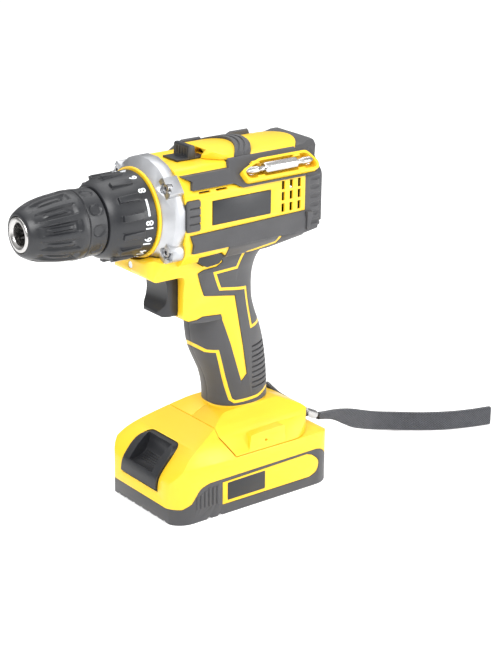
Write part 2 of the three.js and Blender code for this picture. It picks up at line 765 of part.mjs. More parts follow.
// Double-ended screwdriver bit: a hexagonal middle, two necks, a cross tip and a flat tip.
function makeBit() {
  const start = TRAY_FRONT + (TRAY_LENGTH - BIT_LENGTH) / 2;
  const rest = BIT_RADIUS - TRAY_DEPTH / 2 + TRAY_WALL + GAP;
  const out = new THREE.Vector3(0, -Math.cos(TRAY_TILT), Math.sin(TRAY_TILT)).multiplyScalar(rest);
  const middle = TRAY_PLACE.clone().add(out);
  const bar = (end, radius, sides) =>
    rodX(start + end, start + BIT_LENGTH - end, middle.y, middle.z, radius, sides);
  const plate = (from, to, thick, tall) =>
    block(from, to, middle.y - thick, middle.y + thick, middle.z - tall, middle.z + tall);
  const blade = plate(start + BIT_LENGTH - TIP_LENGTH, start + BIT_LENGTH, 0.5, 2.4);
  const cross = plate(start, start + TIP_LENGTH, 2, 0.6);
  const spear = plate(start, start + TIP_LENGTH, 0.6, 2);
  const shaft = [bar(HEXAGON_FROM, BIT_RADIUS, 6), bar(TIP_LENGTH - 1, NECK_RADIUS, 10), blade, cross, spear];
  piece('screwdriver_bit', joined(shaft), STEEL);
}

// ---------------------------------------------------------------- barrel mouldings
function makeMouldings(side, suffix) {
  const spar = skin(upperSpar, side, SPAR_PROUD, RUBBER).subtract(deckRoom());
  piece(`upper_spar_${suffix}`, side < 0 ? spar.subtract(trayBlock(GAP)) : spar, RUBBER_BLACK);
  piece(`lower_spar_${suffix}`, skin(lowerSpar, side, SPAR_PROUD, RUBBER), RUBBER_BLACK);
  piece(`front_pad_${suffix}`, skin(frontPad, side, PROUD, RUBBER), RUBBER_BLACK);
  piece(`name_panel_${suffix}`, skin(namePanel, side, PROUD, PANEL_DEPTH), BLACK);
}

// Crowned section over the deck, as (y, z): shares of its half width and of its rise.
const CROWN = [[1, 0.23], [0.92, 0.47], [0.7, 0.74], [0.4, 0.92], [0.14, 1]];
function arch(halfWidth, height, foot = DECK + GAP) {
  const crest = CROWN.map(([out, up]) => [out * halfWidth, foot + up * (height - foot)]);
  return onAxis(bothSides([[halfWidth, foot], ...crest]));
}

const COVER_FRONT = -22;
const COVER_HALF_WIDTH = DECK_HALF_WIDTH - GAP;
const COVER_TOP = 33; // above the axis, in front of the band
const COVER_REAR_TOP = 30.6; // and behind it
const COVER_REAR = 47.5;
const CORE_HALF_WIDTH = 16;
const BAND_FRONT = 2.6;
const BAND_RIBS = 3;
const RIB_PITCH = 3.8;
const BAND_TOP = 34.4;
const BAND_LENGTH = BAND_RIBS * RIB_PITCH;
const SWEEP = 0.025; // how fast the band and the cover's ends curve forward towards the sides

// Plan of a strip across the deck whose two edges curve forward towards the sides.
function sweptPlan(front, rear) {
  const across = [-21, -16, -11, -5.5, 0, 5.5, 11, 16, 21];
  const edge = (x) => across.map((y) => [x - SWEEP * y * y, y]);
  return [...edge(front), ...edge(rear).reverse()];
}

const strip = (front, rear) => alongZ(sweptPlan(front, rear), AXIS_Z + DECK - 1, FAR);
const crown = (halfWidth, height, rear) => alongX(arch(halfWidth, height), COVER_FRONT - 1, rear);

function makeTop() {
  const slope = alongY(
    onAxis([
      [COVER_FRONT, DECK + GAP],
      [COVER_FRONT + 1, DECK + 2],
      [COVER_FRONT + 9, COVER_TOP],
      [COVER_REAR, COVER_TOP],
      [COVER_REAR, DECK + GAP],
    ]),
    -FAR,
    FAR,
  );
  const frontPlan = alongZ(
    [
      [COVER_FRONT, -9],
      [COVER_FRONT, 9],
      [-11, COVER_HALF_WIDTH],
      [FAR, COVER_HALF_WIDTH],
      [FAR, -COVER_HALF_WIDTH],
      [-11, -COVER_HALF_WIDTH],
    ],
    0,
    FAR,
  );
  const hump = crown(COVER_HALF_WIDTH, COVER_TOP, 20).intersect(slope).intersect(frontPlan);
  const front = hump.intersect(strip(-FAR, BAND_FRONT - GAP));
  const rear = crown(COVER_HALF_WIDTH, COVER_REAR_TOP, COVER_REAR).intersect(
    strip(BAND_FRONT + BAND_LENGTH + GAP, COVER_REAR),
  );
  const core = crown(CORE_HALF_WIDTH, COVER_REAR_TOP - 1, BAND_FRONT + BAND_LENGTH + 3).intersect(
    strip(BAND_FRONT - 4, BAND_FRONT + BAND_LENGTH + 3),
  );
  const knobRear = KNOB_FRONT + KNOB_LENGTH + KNOB_TRAVEL + SLIDE_GAP;
  const knobHalf = KNOB_HALF_WIDTH + SLIDE_GAP;
  const knobRoom = block(-FAR, knobRear, -knobHalf, knobHalf, AXIS_Z + DECK - 1, FAR);
  const plateRear = PLATE_FRONT + PLATE_LENGTH + KNOB_TRAVEL + SLIDE_GAP;
  const plateTop = AXIS_Z + DECK + GAP + PLATE_THICKNESS + SLIDE_GAP;
  const plateRoom = block(-FAR, plateRear, -knobHalf, knobHalf, AXIS_Z + DECK - 1, plateTop);
  piece('top_cover', cutBy(joined([front, rear, core]), [knobRoom, plateRoom]), YELLOW);
  const under = crown(CORE_HALF_WIDTH + GAP, COVER_REAR_TOP - 1 + GAP, FAR).subtract(
    block(-FAR, FAR, -FAR, FAR, 0, AXIS_Z + DECK - 5),
  );
  const band = crown(COVER_HALF_WIDTH, BAND_TOP - 0.8, FAR).intersect(
    strip(BAND_FRONT, BAND_FRONT + BAND_LENGTH),
  );
  const ribs = Array.from({ length: BAND_RIBS }, (_, i) => {
    const from = BAND_FRONT + i * RIB_PITCH;
    return crown(COVER_HALF_WIDTH, BAND_TOP, FAR).intersect(strip(from, from + RIB_PITCH * 0.6));
  });
  piece('top_band', joined([band, ...ribs]).subtract(under), RUBBER_BLACK);
}


const REAR_VENT_HALF_WIDTH = 12;
const REAR_VENT_HEIGHT = 3;

// Closed cap over the rear of the barrel, with a ridge above it and the ends of the spars.
function makeRearCap() {
  const front = BARREL_REAR + GAP;
  const rear = BARREL_REAR + CAP_LENGTH;
  const steps = [
    [0.3, front, front + CAP_LENGTH * 0.62],
    [2.2, front, front + CAP_LENGTH * 0.84],
    [5, front, rear],
  ];
  const shell = joined(steps.map(([amount, from, to]) => barrelSolid(amount, from, to)));
  const ridge = alongY(
    onAxis([
      [front, DECK - 4],
      [front, 28.2],
      [rear - 8, 28.6],
      [rear - 1.5, 31],
      [rear + 0.4, 29.6],
      [rear - 0.6, 18],
      [front + 6, 18],
    ]),
    -DECK_HALF_WIDTH,
    DECK_HALF_WIDTH,
  ).intersect(alongX(arch(DECK_HALF_WIDTH, 31, 10), 0, FAR));
  const proud = barrelSolid(-SPAR_PROUD, front, rear);
  const upperEnd = alongY(
    onAxis([
      [front, SHOULDER],
      [front + 7.5, SHOULDER + 0.4],
      [front + 11.5, SHOULDER + 5],
      [front + 8, 23.6],
      [front, 23.6],
    ]),
    -FAR,
    FAR,
  );
  const lowerEnd = alongY(
    onAxis([
      [front, -8.5],
      [front + 4.6, -9.4],
      [front + 1.2, -19.8],
      [front, -19.8],
    ]),
    -FAR,
    FAR,
  );
  const hollow = barrelSolid(WALL + 5, front - 1, rear - WALL);
  const vents = VENT_ROWS.map((z) =>
    block(
      rear - 2 * WALL,
      FAR,
      -REAR_VENT_HALF_WIDTH,
      REAR_VENT_HALF_WIDTH,
      AXIS_Z + z - REAR_VENT_HEIGHT / 2,
      AXIS_Z + z + REAR_VENT_HEIGHT / 2,
    ),
  );
  const coverRoom = strip(0, COVER_REAR + GAP).subtract(block(-FAR, FAR, -FAR, FAR, 0, AXIS_Z + DECK));
  const solid = joined([shell, ridge, upperEnd.intersect(proud), lowerEnd.intersect(proud)]);
  piece('rear_cap', cutBy(solid, [hollow, trayBlock(GAP), coverRoom, ...vents]), RUBBER_BLACK);
}

// ---------------------------------------------------------------- gear case and collar
const CASE_FACE = -62;
const CASE_RADIUS = BARREL_HALF_WIDTH + 0.7;
const RING_RADIUS = 26.4;
const CASE_BODY_RADIUS = 22;
const CASE_REAR = -24;
const NOSE_RADIUS = 14;
const NOSE_FRONT = -91;
const BEARING_RADIUS = 8.2;
const CASE_BORE = 19.7;
const BOSS_Y = 24.4;
const BOSS_Z = 18.7;
const CASE_BOSS_RADIUS = 6.2;
const BOSS_PROUD = 1;
const SCREW_HEAD_RADIUS = 2.9;
const SCREW_SEAT = -55.5;
const corners = [-1, 1].flatMap((v) => [-1, 1].map((u) => [u * BOSS_Y, AXIS_Z + v * BOSS_Z]));

function makeGearCase() {
  const body = turned(
    [
      [NOSE_FRONT, BEARING_RADIUS],
      [NOSE_FRONT, NOSE_RADIUS],
      [CASE_FACE, NOSE_RADIUS],
      [CASE_FACE, 25.8],
      [CASE_FACE + 5.5, CASE_RADIUS - 0.8],
      [CASE_FACE + 7.5, CASE_RADIUS],
      [BARREL_FRONT - GAP, CASE_RADIUS],
      [BARREL_FRONT - GAP, CASE_BODY_RADIUS],
      [CASE_REAR, CASE_BODY_RADIUS],
      [CASE_REAR, CASE_BORE],
      [CASE_FACE + 3, CASE_BORE],
      [CASE_FACE + 3, BEARING_RADIUS],
    ],
    32,
  );
  const outline = alongX(inset(barrelSection, -BOSS_PROUD), CASE_FACE, BARREL_FRONT);
  const bosses = corners.map(([y, z]) =>
    rodX(CASE_FACE + 2.5, BARREL_FRONT - GAP, y, z, CASE_BOSS_RADIUS, 14).intersect(outline),
  );
  const holes = corners.map(([y, z]) => rodX(-90, SCREW_SEAT, y, z, SCREW_HEAD_RADIUS + GAP, 12));
  const shafts = corners.map(([y, z]) => rodX(-90, BARREL_FRONT - 1.2, y, z, SCREW_RADIUS + GAP, 10));
  const flats = block(-FAR, FAR, -BARREL_HALF_WIDTH, BARREL_HALF_WIDTH, 0, FAR);
  piece('gear_case', cutBy(joined([body, ...bosses]).intersect(flats), [...holes, ...shafts]), ALLOY);
  corners.forEach(([y, z], i) => {
    const head = rodX(SCREW_SEAT - 3, SCREW_SEAT - GAP, y, z, SCREW_HEAD_RADIUS, 12);
    const socket = rodX(SCREW_SEAT - 5, SCREW_SEAT - 1.4, y, z, 1.5, 6);
    const shank = rodX(SCREW_SEAT - 0.8, BARREL_FRONT - 1.6, y, z, SCREW_RADIUS, 10);
    piece(`case_screw_${i + 1}`, joined([head.subtract(socket), shank]), STEEL);
  });
}

const COLLAR_FRONT = -92.6;
const COLLAR_REAR = CASE_FACE - 2.2;
const COLLAR_BARS = 14;

function makeCollar() {
  const body = turned(
    [
      [COLLAR_FRONT, 17.5],
      [COLLAR_FRONT, 20.1],
      [COLLAR_FRONT + 2.3, 21.7],
      [COLLAR_FRONT + 4.5, 22.6],
      [COLLAR_FRONT + 8, 23.5],
      [COLLAR_FRONT + 20, 24.3],
      [COLLAR_REAR, 25.2],
      [COLLAR_REAR, NOSE_RADIUS + SLIDE_GAP],
      [NOSE_FRONT + 3, NOSE_RADIUS + SLIDE_GAP],
      [NOSE_FRONT + 3, 17.5],
    ],
    32,
  );
  const bars = Array.from({ length: COLLAR_BARS }, (_, i) => {
    const angle = (2 * Math.PI * i) / COLLAR_BARS;
    const bar = new THREE.BoxGeometry(14, 3.4, 4);
    bar.translate(COLLAR_FRONT + 13.5, 0, 22.9);
    bar.rotateX(angle);
    return solidFrom(bar, new THREE.Matrix4().setPosition(0, 0, AXIS_Z));
  });
  piece('torque_collar', joined([body, ...bars]), BLACK);
  const ring = [
    [CASE_FACE - 1.9, NOSE_RADIUS + GAP],
    [CASE_FACE - 1.9, RING_RADIUS],
    [CASE_FACE - GAP, RING_RADIUS],
    [CASE_FACE - GAP, NOSE_RADIUS + GAP],
  ];
  piece('collar_ring', turned(ring, 32), YELLOW);
}

// ---------------------------------------------------------------- chuck
const SLEEVE_REAR = -105.2;
const CHUCK_BODY_RADIUS = 15.6;

// Profile of the outside of the sleeve, as (x, radius).
const sleeveCurve = [
  [CHUCK_NOSE + 0.6, 10.9],
  [CHUCK_NOSE + 1.6, 12.6],
  [CHUCK_NOSE + 4.8, 14.6],
  [CHUCK_NOSE + 8, 16],
  [CHUCK_NOSE + 12, 17.3],
  [CHUCK_NOSE + 18.4, 18.6],
  [CHUCK_NOSE + 26, 19.4],
  [SLEEVE_REAR, 19.8],
];

function jawRod(angle, slid, radius, extra = 0) {
  const way = axis(Math.cos(JAW_TILT), 0, Math.sin(JAW_TILT));
  const tip = axis(CHUCK_NOSE + 2, 0, JAW_RADIUS * 0.82).addScaledVector(way, slid);
  const end = tip.clone().addScaledVector(way, JAW_LENGTH + extra);
  const spin = (point) => point.applyAxisAngle(axis(1, 0, 0), angle).add(axis(0, 0, AXIS_Z));
  return rod(spin(tip), spin(end), radius, 12);
}

// The third of the bore that belongs to one jaw when the chuck is closed.
function jawWedge(angle) {
  const reach = 30;
  const edge = Math.PI / JAWS;
  const gap = GAP / Math.sin(edge);
  const wedge = alongX(
    [
      [0, gap],
      [reach * Math.sin(edge), gap + reach * Math.cos(edge)],
      [0, 2 * reach],
      [-reach * Math.sin(edge), gap + reach * Math.cos(edge)],
    ],
    -FAR,
    FAR,
  );
  return wedge.rotate([(angle * 180) / Math.PI, 0, 0]).translate([0, 0, AXIS_Z]);
}

const jawAngle = (i) => (2 * Math.PI * i) / JAWS;

function makeChuck() {
  const clearance = 0.6;
  const body = turned(
    [
      [CHUCK_NOSE, BORE_RADIUS + 1.2],
      [CHUCK_NOSE, 9.4],
      [CHUCK_NOSE + 0.8, 10.2],
      [CHUCK_NOSE + 8, 12],
      [CHUCK_NOSE + 22, CHUCK_BODY_RADIUS],
      [CHUCK_REAR - GAP, CHUCK_BODY_RADIUS],
      [CHUCK_REAR - GAP, SPINDLE_RADIUS + GAP],
      [CHUCK_REAR - 9, SPINDLE_RADIUS + GAP],
      [CHUCK_REAR - 9, BORE_RADIUS],
      [CHUCK_NOSE + 2, BORE_RADIUS],
    ],
    28,
  );
  const holes = Array.from({ length: JAWS }, (_, i) =>
    jawRod(jawAngle(i), -4, JAW_RADIUS + GAP, JAW_TRAVEL + 8),
  );
  piece('chuck_body', cutBy(body, holes), STEEL);
  for (let i = 0; i < JAWS; i += 1) {
    const closed = jawRod(jawAngle(i), 0, JAW_RADIUS).intersect(jawWedge(jawAngle(i)));
    const back = axis(Math.cos(JAW_TILT), 0, Math.sin(JAW_TILT)).multiplyScalar(JAW_TRAVEL);
    back.applyAxisAngle(axis(1, 0, 0), jawAngle(i));
    piece(`chuck_jaw_${i + 1}`, closed.translate(back.toArray()), STEEL);
  }
  const bore = [
    [SLEEVE_REAR, CHUCK_BODY_RADIUS + clearance],
    [CHUCK_NOSE + 20, CHUCK_BODY_RADIUS + clearance],
    [CHUCK_NOSE + 6, 12.1],
    [CHUCK_NOSE + 0.6, 10.55],
  ];
  const grooves = Array.from({ length: SLEEVE_GROOVES }, (_, i) => {
    const groove = new THREE.CylinderGeometry(1.7, 1.7, 21, 6);
    groove.rotateZ(Math.PI / 2 + 0.03);
    groove.translate(CHUCK_NOSE + 22, 0, 20.1);
    groove.rotateX((2 * Math.PI * (i + 0.5)) / SLEEVE_GROOVES);
    return solidFrom(groove, new THREE.Matrix4().setPosition(0, 0, AXIS_Z));
  });
  piece('chuck_sleeve', cutBy(turned([...sleeveCurve, ...bore], 30), grooves), BLACK);
  const ring = [
    [SLEEVE_REAR + SLIDE_GAP, CHUCK_BODY_RADIUS + clearance],
    [SLEEVE_REAR + SLIDE_GAP, 19.7],
    [CHUCK_REAR, 19.3],
    [CHUCK_REAR, CHUCK_BODY_RADIUS + clearance],
  ];
  piece('chuck_rear_ring', turned(ring, 30), BLACK);
}

// ---------------------------------------------------------------- gearing
// Straight-sided teeth, thinner than their spaces, so that meshing teeth never touch.
function gearOutline(teeth, rootRadius, tipRadius, share, turn = 0) {
  const pitch = (2 * Math.PI) / teeth;
  const corner = (radius, angle) => [radius * Math.sin(angle), radius * Math.cos(angle)];
  return Array.from({ length: teeth }, (_, i) => {
    const middle = i * pitch + turn;
    const [root, tip] = [pitch * share * 0.32, pitch * share * 0.17];
    return [
      corner(rootRadius, middle - root),
      corner(tipRadius, middle - tip),
      corner(tipRadius, middle + tip),
      corner(rootRadius, middle + root),
    ];
  })
    .flat()
    .reverse();
}

const moved = (points, y, z) => points.map(([u, v]) => [u + y, v + z]);
const pitchRadius = (teeth) => (MODULE * teeth) / 2;
const ADDENDUM = 0.75 * MODULE;
const DEDENDUM = 1.1 * MODULE;
const TOOTH_SHARE = 0.72; // tooth width as a share of half the pitch
const ORBIT = pitchRadius(SUN_TEETH) + pitchRadius(PLANET_TEETH);
const PLANET_BORE = 2.1;

function makeGears() {
  const tips = pitchRadius(PLANET_TEETH) + ADDENDUM;
  const roots = pitchRadius(PLANET_TEETH) - DEDENDUM;
  const ringRoot = pitchRadius(RING_TEETH) + DEDENDUM;
  const ringTip = pitchRadius(RING_TEETH) - ADDENDUM;
  const ringTeeth = gearOutline(RING_TEETH, ringRoot, ringTip, TOOTH_SHARE, Math.PI / RING_TEETH);
  const disc = alongX(moved(circle(CASE_BORE - GAP, 36), 0, AXIS_Z), GEAR_FRONT, GEAR_REAR);
  const hole = alongX(moved(ringTeeth, 0, AXIS_Z), GEAR_FRONT - 1, GEAR_REAR + 1);
  piece('ring_gear', disc.subtract(hole), STEEL);
  for (let i = 0; i < PLANETS; i += 1) {
    const angle = (2 * Math.PI * i) / PLANETS;
    const [y, z] = [ORBIT * Math.sin(angle), AXIS_Z + ORBIT * Math.cos(angle)];
    // A planet's teeth face the gaps of the sun gear on the line between the two centres.
    const turn = angle + Math.PI + Math.PI / PLANET_TEETH;
    const outline = gearOutline(PLANET_TEETH, roots, tips, TOOTH_SHARE, turn);
    const wheel = alongX(moved(outline, y, z), GEAR_FRONT + GAP, GEAR_REAR - GAP);
    piece(`planet_gear_${i + 1}`, wheel.subtract(rodX(-FAR, FAR, y, z, PLANET_BORE, 12)), STEEL);
  }
  const pins = Array.from({ length: PLANETS }, (_, i) => {
    const angle = (2 * Math.PI * i) / PLANETS;
    const [y, z] = [ORBIT * Math.sin(angle), AXIS_Z + ORBIT * Math.cos(angle)];
    return rodX(GEAR_FRONT - 3, GEAR_REAR - GAP, y, z, PLANET_BORE - GAP, 10);
  });
  const carrier = rodX(GEAR_FRONT - 4, GEAR_FRONT - GAP, 0, AXIS_Z, ORBIT + 4, 28);
  const spindle = rodX(CHUCK_REAR - 8.5, GEAR_FRONT - 3, 0, AXIS_Z, SPINDLE_RADIUS, 20);
  piece('output_spindle', joined([carrier, spindle, ...pins]), STEEL);
  const bearing = [
    [NOSE_FRONT + 2, SPINDLE_RADIUS + GAP],
    [NOSE_FRONT + 2, BEARING_RADIUS - GAP],
    [NOSE_FRONT + 12, BEARING_RADIUS - GAP],
    [NOSE_FRONT + 12, SPINDLE_RADIUS + GAP],
  ];
  piece('spindle_bearing', turned(bearing, 24), BRASS);
  const coil = new THREE.Curve();
  const turns = 3;
  coil.getPoint = (t) => {
    const angle = 2 * Math.PI * turns * t;
    return axis(CASE_FACE + 6 + 10 * t, 13 * Math.sin(angle), AXIS_Z + 13 * Math.cos(angle));
  };
  const wire = new THREE.Shape(circle(0.9, 6).map(([u, v]) => new THREE.Vector2(u, v)));
  const spring = new THREE.ExtrudeGeometry(wire, { steps: turns * 14, extrudePath: coil });
  piece('clutch_spring', solidFrom(spring), STEEL);
}

// ---------------------------------------------------------------- motor
const FAN_RADIUS = 16;

function makeMotor() {
  const can = [
    [MOTOR_FRONT, SHAFT_RADIUS + 1],
    [MOTOR_FRONT, MOTOR_RADIUS],
    [MOTOR_REAR, MOTOR_RADIUS],
    [MOTOR_REAR, MOTOR_RADIUS - MOTOR_WALL],
    [MOTOR_FRONT + 2, MOTOR_RADIUS - MOTOR_WALL],
    [MOTOR_FRONT + 2, SHAFT_RADIUS + 1],
  ];
  piece('motor_can', turned(can, 32), STEEL);
  const sunTeeth = gearOutline(
    SUN_TEETH,
    pitchRadius(SUN_TEETH) - DEDENDUM,
    pitchRadius(SUN_TEETH) + ADDENDUM,
    TOOTH_SHARE,
  );
  const sun = alongX(moved(sunTeeth, 0, AXIS_Z), GEAR_FRONT + GAP, GEAR_REAR + 3);
  const core = rodX(MOTOR_FRONT + 5, MOTOR_REAR - 9, 0, AXIS_Z, MOTOR_RADIUS - MOTOR_WALL - 2.4, 24);
  const shaft = rodX(GEAR_REAR, MOTOR_REAR + 3, 0, AXIS_Z, SHAFT_RADIUS, 12);
  piece('motor_rotor', joined([sun, core, shaft]), COPPER);
  const hub = rodX(MOTOR_REAR - 7, MOTOR_REAR, 0, AXIS_Z, 4.4, 16);
  const blades = Array.from({ length: 9 }, (_, i) => {
    const blade = new THREE.BoxGeometry(6, 1.2, FAN_RADIUS - 3);
    blade.translate(MOTOR_REAR - 3.5, 0, (FAN_RADIUS + 3) / 2);
    blade.rotateX((2 * Math.PI * i) / 9);
    return solidFrom(blade, new THREE.Matrix4().setPosition(0, 0, AXIS_Z));
  });
  const bore = rodX(-FAR, FAR, 0, AXIS_Z, SHAFT_RADIUS + GAP, 12);
  piece('motor_fan', joined([hub, ...blades]).subtract(bore), BLACK);
}

// ---------------------------------------------------------------- controls
function makeControls() {
  const deckTop = AXIS_Z + DECK + GAP;
  const knobTop = AXIS_Z + KNOB_TOP;
  const knob = alongY(
    [
      [KNOB_FRONT, deckTop],
      [KNOB_FRONT + 0.3, knobTop - 1],
      [KNOB_FRONT + 1.3, knobTop],
      [KNOB_FRONT + KNOB_LENGTH - 1.6, knobTop - 0.3],
      [KNOB_FRONT + KNOB_LENGTH - 0.4, knobTop - 1.6],
      [KNOB_FRONT + KNOB_LENGTH, deckTop],
    ],
    -KNOB_HALF_WIDTH,
    KNOB_HALF_WIDTH,
  );
  const plate = block(
    PLATE_FRONT,
    PLATE_FRONT + PLATE_LENGTH,
    -KNOB_HALF_WIDTH,
    KNOB_HALF_WIDTH,
    deckTop,
    deckTop + PLATE_THICKNESS,
  );
  const middle = KNOB_FRONT + KNOB_LENGTH / 2;
  const stem = block(
    middle - KNOB_STEM,
    middle + KNOB_STEM,
    -KNOB_STEM,
    KNOB_STEM,
    deckTop - STEM_DEPTH,
    deckTop + PLATE_THICKNESS,
  );
  piece('speed_knob', joined([knob, plate, stem]), BLACK);

  const reach = NECK_TOP_HALF_WIDTH + 0.4;
  const button = alongY(buttonHex, -reach, reach);
  const stemRoom = block(-FAR, FAR, -NECK_HALF_WIDTH + 2.5, NECK_HALF_WIDTH - 2.5, 0, AXIS_Z - 29.4);
  piece('direction_button', button.subtract(stemRoom), BLACK);

  const trigger = alongY(
    rounded(
      onAxis([
        [-50.5, -39],
        [-49.6, -46],
        [-49.8, -54],
        [-52.6, -61.4],
        [-47, -63.6],
        [-31, -63.6],
        [-31, -39],
      ]),
      1.2,
      2,
    ),
    -TRIGGER_HALF_WIDTH,
    TRIGGER_HALF_WIDTH,
  );
  piece('trigger', trigger, BLACK);
  const springFrom = -30.5;
  const spring = new THREE.Curve();
  spring.getPoint = (t) => {
    const angle = 2 * Math.PI * 4 * t;
    return axis(springFrom + 6.5 * t, 3 * Math.sin(angle), AXIS_Z - 46 + 3 * Math.cos(angle));
  };
  const wire = new THREE.Shape(circle(0.4, 5).map(([u, v]) => new THREE.Vector2(u, v)));
  const coil = new THREE.ExtrudeGeometry(wire, { steps: 40, extrudePath: spring });
  piece('trigger_spring', solidFrom(coil), STEEL);
  const switchBody = block(-16, 5, -8.5, 8.5, AXIS_Z - 66, AXIS_Z - 38);
  piece('switch_body', switchBody, CHARCOAL);
  const lens = rodX(CHIN_FRONT + 0.3, CHIN_FRONT + 3.6, 0, AXIS_Z + LENS_HEIGHT, LENS_RADIUS, 14);
  piece('light_lens', lens, LENS);
}

// ---------------------------------------------------------------- battery
const LOWER_FRONT = 9; // height of the dark lower shell across the front
const LOWER_SIDE = 23; // and along the sides

const lowerRegion = [
  [-FAR, -FAR],
  [-FAR, LOWER_FRONT],
  [-HALF_LENGTH + 6, LOWER_FRONT + 1],
  [-HALF_LENGTH + 12, LOWER_FRONT + 4],
  [-HALF_LENGTH + 17, LOWER_SIDE - 3],
  [-HALF_LENGTH + 25, LOWER_SIDE],
  [HALF_LENGTH - 14, LOWER_SIDE + 1],
  [HALF_LENGTH - 5, LOWER_SIDE - 5],
  [FAR, LOWER_SIDE - 6],
  [FAR, -FAR],
];

const sidePanel = [
  [-26, 6.5],
  [-26, 21],
  [39, 22.4],
  [45.5, 19],
  [48.5, 14],
  [46, 8.5],
  [41, 6.5],
];
const PANEL_THICKNESS = 1.2;

// Side view of the release button. It slides into the slope of the battery's front.
const PRESS = new THREE.Vector2(0.79, -0.613);
const BUTTON_HALF_WIDTH = 17.2;
const BUTTON_TRAVEL = 3;
const slopeTop = [-41.8, 44];
const slopeBottom = [-61.6, 18.6];

function buttonOutline(outward, inward, widen) {
  const along = new THREE.Vector2(slopeTop[0] - slopeBottom[0], slopeTop[1] - slopeBottom[1]).normalize();
  const corner = ([x, z], run, depth) => [
    x + along.x * run + PRESS.x * depth,
    z + along.y * run + PRESS.y * depth,
  ];
  return [
    corner(slopeTop, widen, -outward),
    corner(slopeBottom, -widen, -outward),
    corner(slopeBottom, -widen, inward),
    corner(slopeTop, widen, inward),
  ];
}

const bladePlaces = [-BLADE_PITCH, 0, BLADE_PITCH];
const CELLS = 5;
const CELL_RADIUS = 9.2;
const CELL_PITCH = 18.8;
const CELL_FRONT = -34;
const CELL_HALF_LENGTH = 32;

function makeBattery() {
  const outer = baseSolid(0);
  const footSpace = alongY(footRegion(-GAP / 2), -FAR, FAR);
  const rear = block(-FAR, FAR, -FAR, FAR, -1, BATTERY_TOP - GAP / 2);
  const body = outer.subtract(footSpace.subtract(rear));
  const rail = railSolid(0, FOOT_FRONT + 3, RAIL_END).intersect(outer);
  const slotHalf = BLADE_HALF + SLIDE_GAP;
  const bladeSlots = bladePlaces.map((y) =>
    block(TERMINAL_FRONT + 3, RAIL_END + 1, y - slotHalf, y + slotHalf, BLADE_BOTTOM - 1, FAR),
  );
  const inner = baseSolid(BATTERY_WALL).intersect(
    block(-FAR, FAR, -FAR, FAR, BATTERY_WALL, BATTERY_TOP - 3),
  );
  const well = alongY(
    buttonOutline(10, 8 + BUTTON_TRAVEL + SLIDE_GAP, SLIDE_GAP),
    -BUTTON_HALF_WIDTH - SLIDE_GAP,
    BUTTON_HALF_WIDTH + SLIDE_GAP,
  );
  const whole = cutBy(joined([body, rail]), [inner, well, ...bladeSlots]);
  const lower = alongY(lowerRegion, -FAR, FAR);
  const panels = alongY(inset(sidePanel, -GAP), -FAR, FAR).subtract(baseSolid(PANEL_THICKNESS + GAP));
  piece('battery_bottom_shell', whole.intersect(lower).subtract(panels), CHARCOAL);
  piece('battery_top_shell', whole.subtract(alongY(inset(lowerRegion, -GAP), -FAR, FAR)), YELLOW);
  [[-1, 'left'], [1, 'right']].forEach(([side, suffix]) => {
    const plate = side < 0 ? alongY(sidePanel, -FAR, 0) : alongY(sidePanel, 0, FAR);
    const panel = plate.intersect(baseSolid(0)).subtract(baseSolid(PANEL_THICKNESS));
    piece(`battery_panel_${suffix}`, panel, YELLOW);
  });

  const press = alongY(buttonOutline(10, 7, 0), -BUTTON_HALF_WIDTH, BUTTON_HALF_WIDTH);
  const scoop = rodY(-56, -12, 12, 47, 12.5, 20);
  piece('release_button', press.intersect(baseSolid(-0.6)).subtract(scoop), BLACK);

  const cellHeight = BATTERY_WALL + CELL_RADIUS + 0.8;
  const cells = Array.from({ length: CELLS }, (_, i) =>
    rodY(CELL_FRONT + i * CELL_PITCH, -CELL_HALF_LENGTH, CELL_HALF_LENGTH, cellHeight, CELL_RADIUS, 20),
  );
  const holder = block(-36, 43, -20, 20, BATTERY_WALL + 9, BATTERY_WALL + 12);
  piece('cell_pack', joined([...cells, holder]), CELL_WRAP);
}

function makeTerminals() {
  const housing = block(
    TERMINAL_FRONT,
    TERMINAL_FRONT + TERMINAL_LENGTH,
    -TERMINAL_HALF_WIDTH,
    TERMINAL_HALF_WIDTH,
    RAIL_HEAD_TOP + SLIDE_GAP,
    TERMINAL_TOP,
  );
  const blades = bladePlaces.map((y) =>
    block(
      TERMINAL_FRONT + 4,
      TERMINAL_FRONT + 16,
      y - BLADE_HALF,
      y + BLADE_HALF,
      BLADE_BOTTOM,
      TERMINAL_TOP - 2,
    ),
  );
  piece('terminal_block', joined([housing, ...blades]), CHARCOAL);
}

// ---------------------------------------------------------------- wrist strap
// The thin cord loops through the hole in the foot, and both its ends enter the ferrule.
const STRAP_START = HALF_LENGTH + 1.3; // just behind the battery
const FERRULE_FROM = axis(STRAP_START, -5, BATTERY_TOP + 1.5);
const FERRULE_TO = axis(STRAP_START + 13, -2, BATTERY_TOP - 6);

const inHole = (share) => CORD_HOLE_FROM.clone().lerp(CORD_HOLE_TO, share).toArray();
const cordPath = [
  [FERRULE_FROM.x - 1.2, -6.8, FERRULE_FROM.z + 0.8],
  inHole(0.02),
  inHole(0.3),
  inHole(0.55),
  inHole(0.8),
  inHole(0.92),
  [FOOT_REAR - 7.8, 10.5, FOOT_TOP - 3.8],
  [FOOT_REAR - 3, 13, FOOT_TOP - 8],
  [FOOT_REAR + 2.5, 11.5, FOOT_TOP - 13.6],
  [FOOT_REAR + 7, 6, FOOT_TOP - 17.4],
  [FERRULE_FROM.x - 1.4, -2.2, FERRULE_FROM.z + 1.6],
];

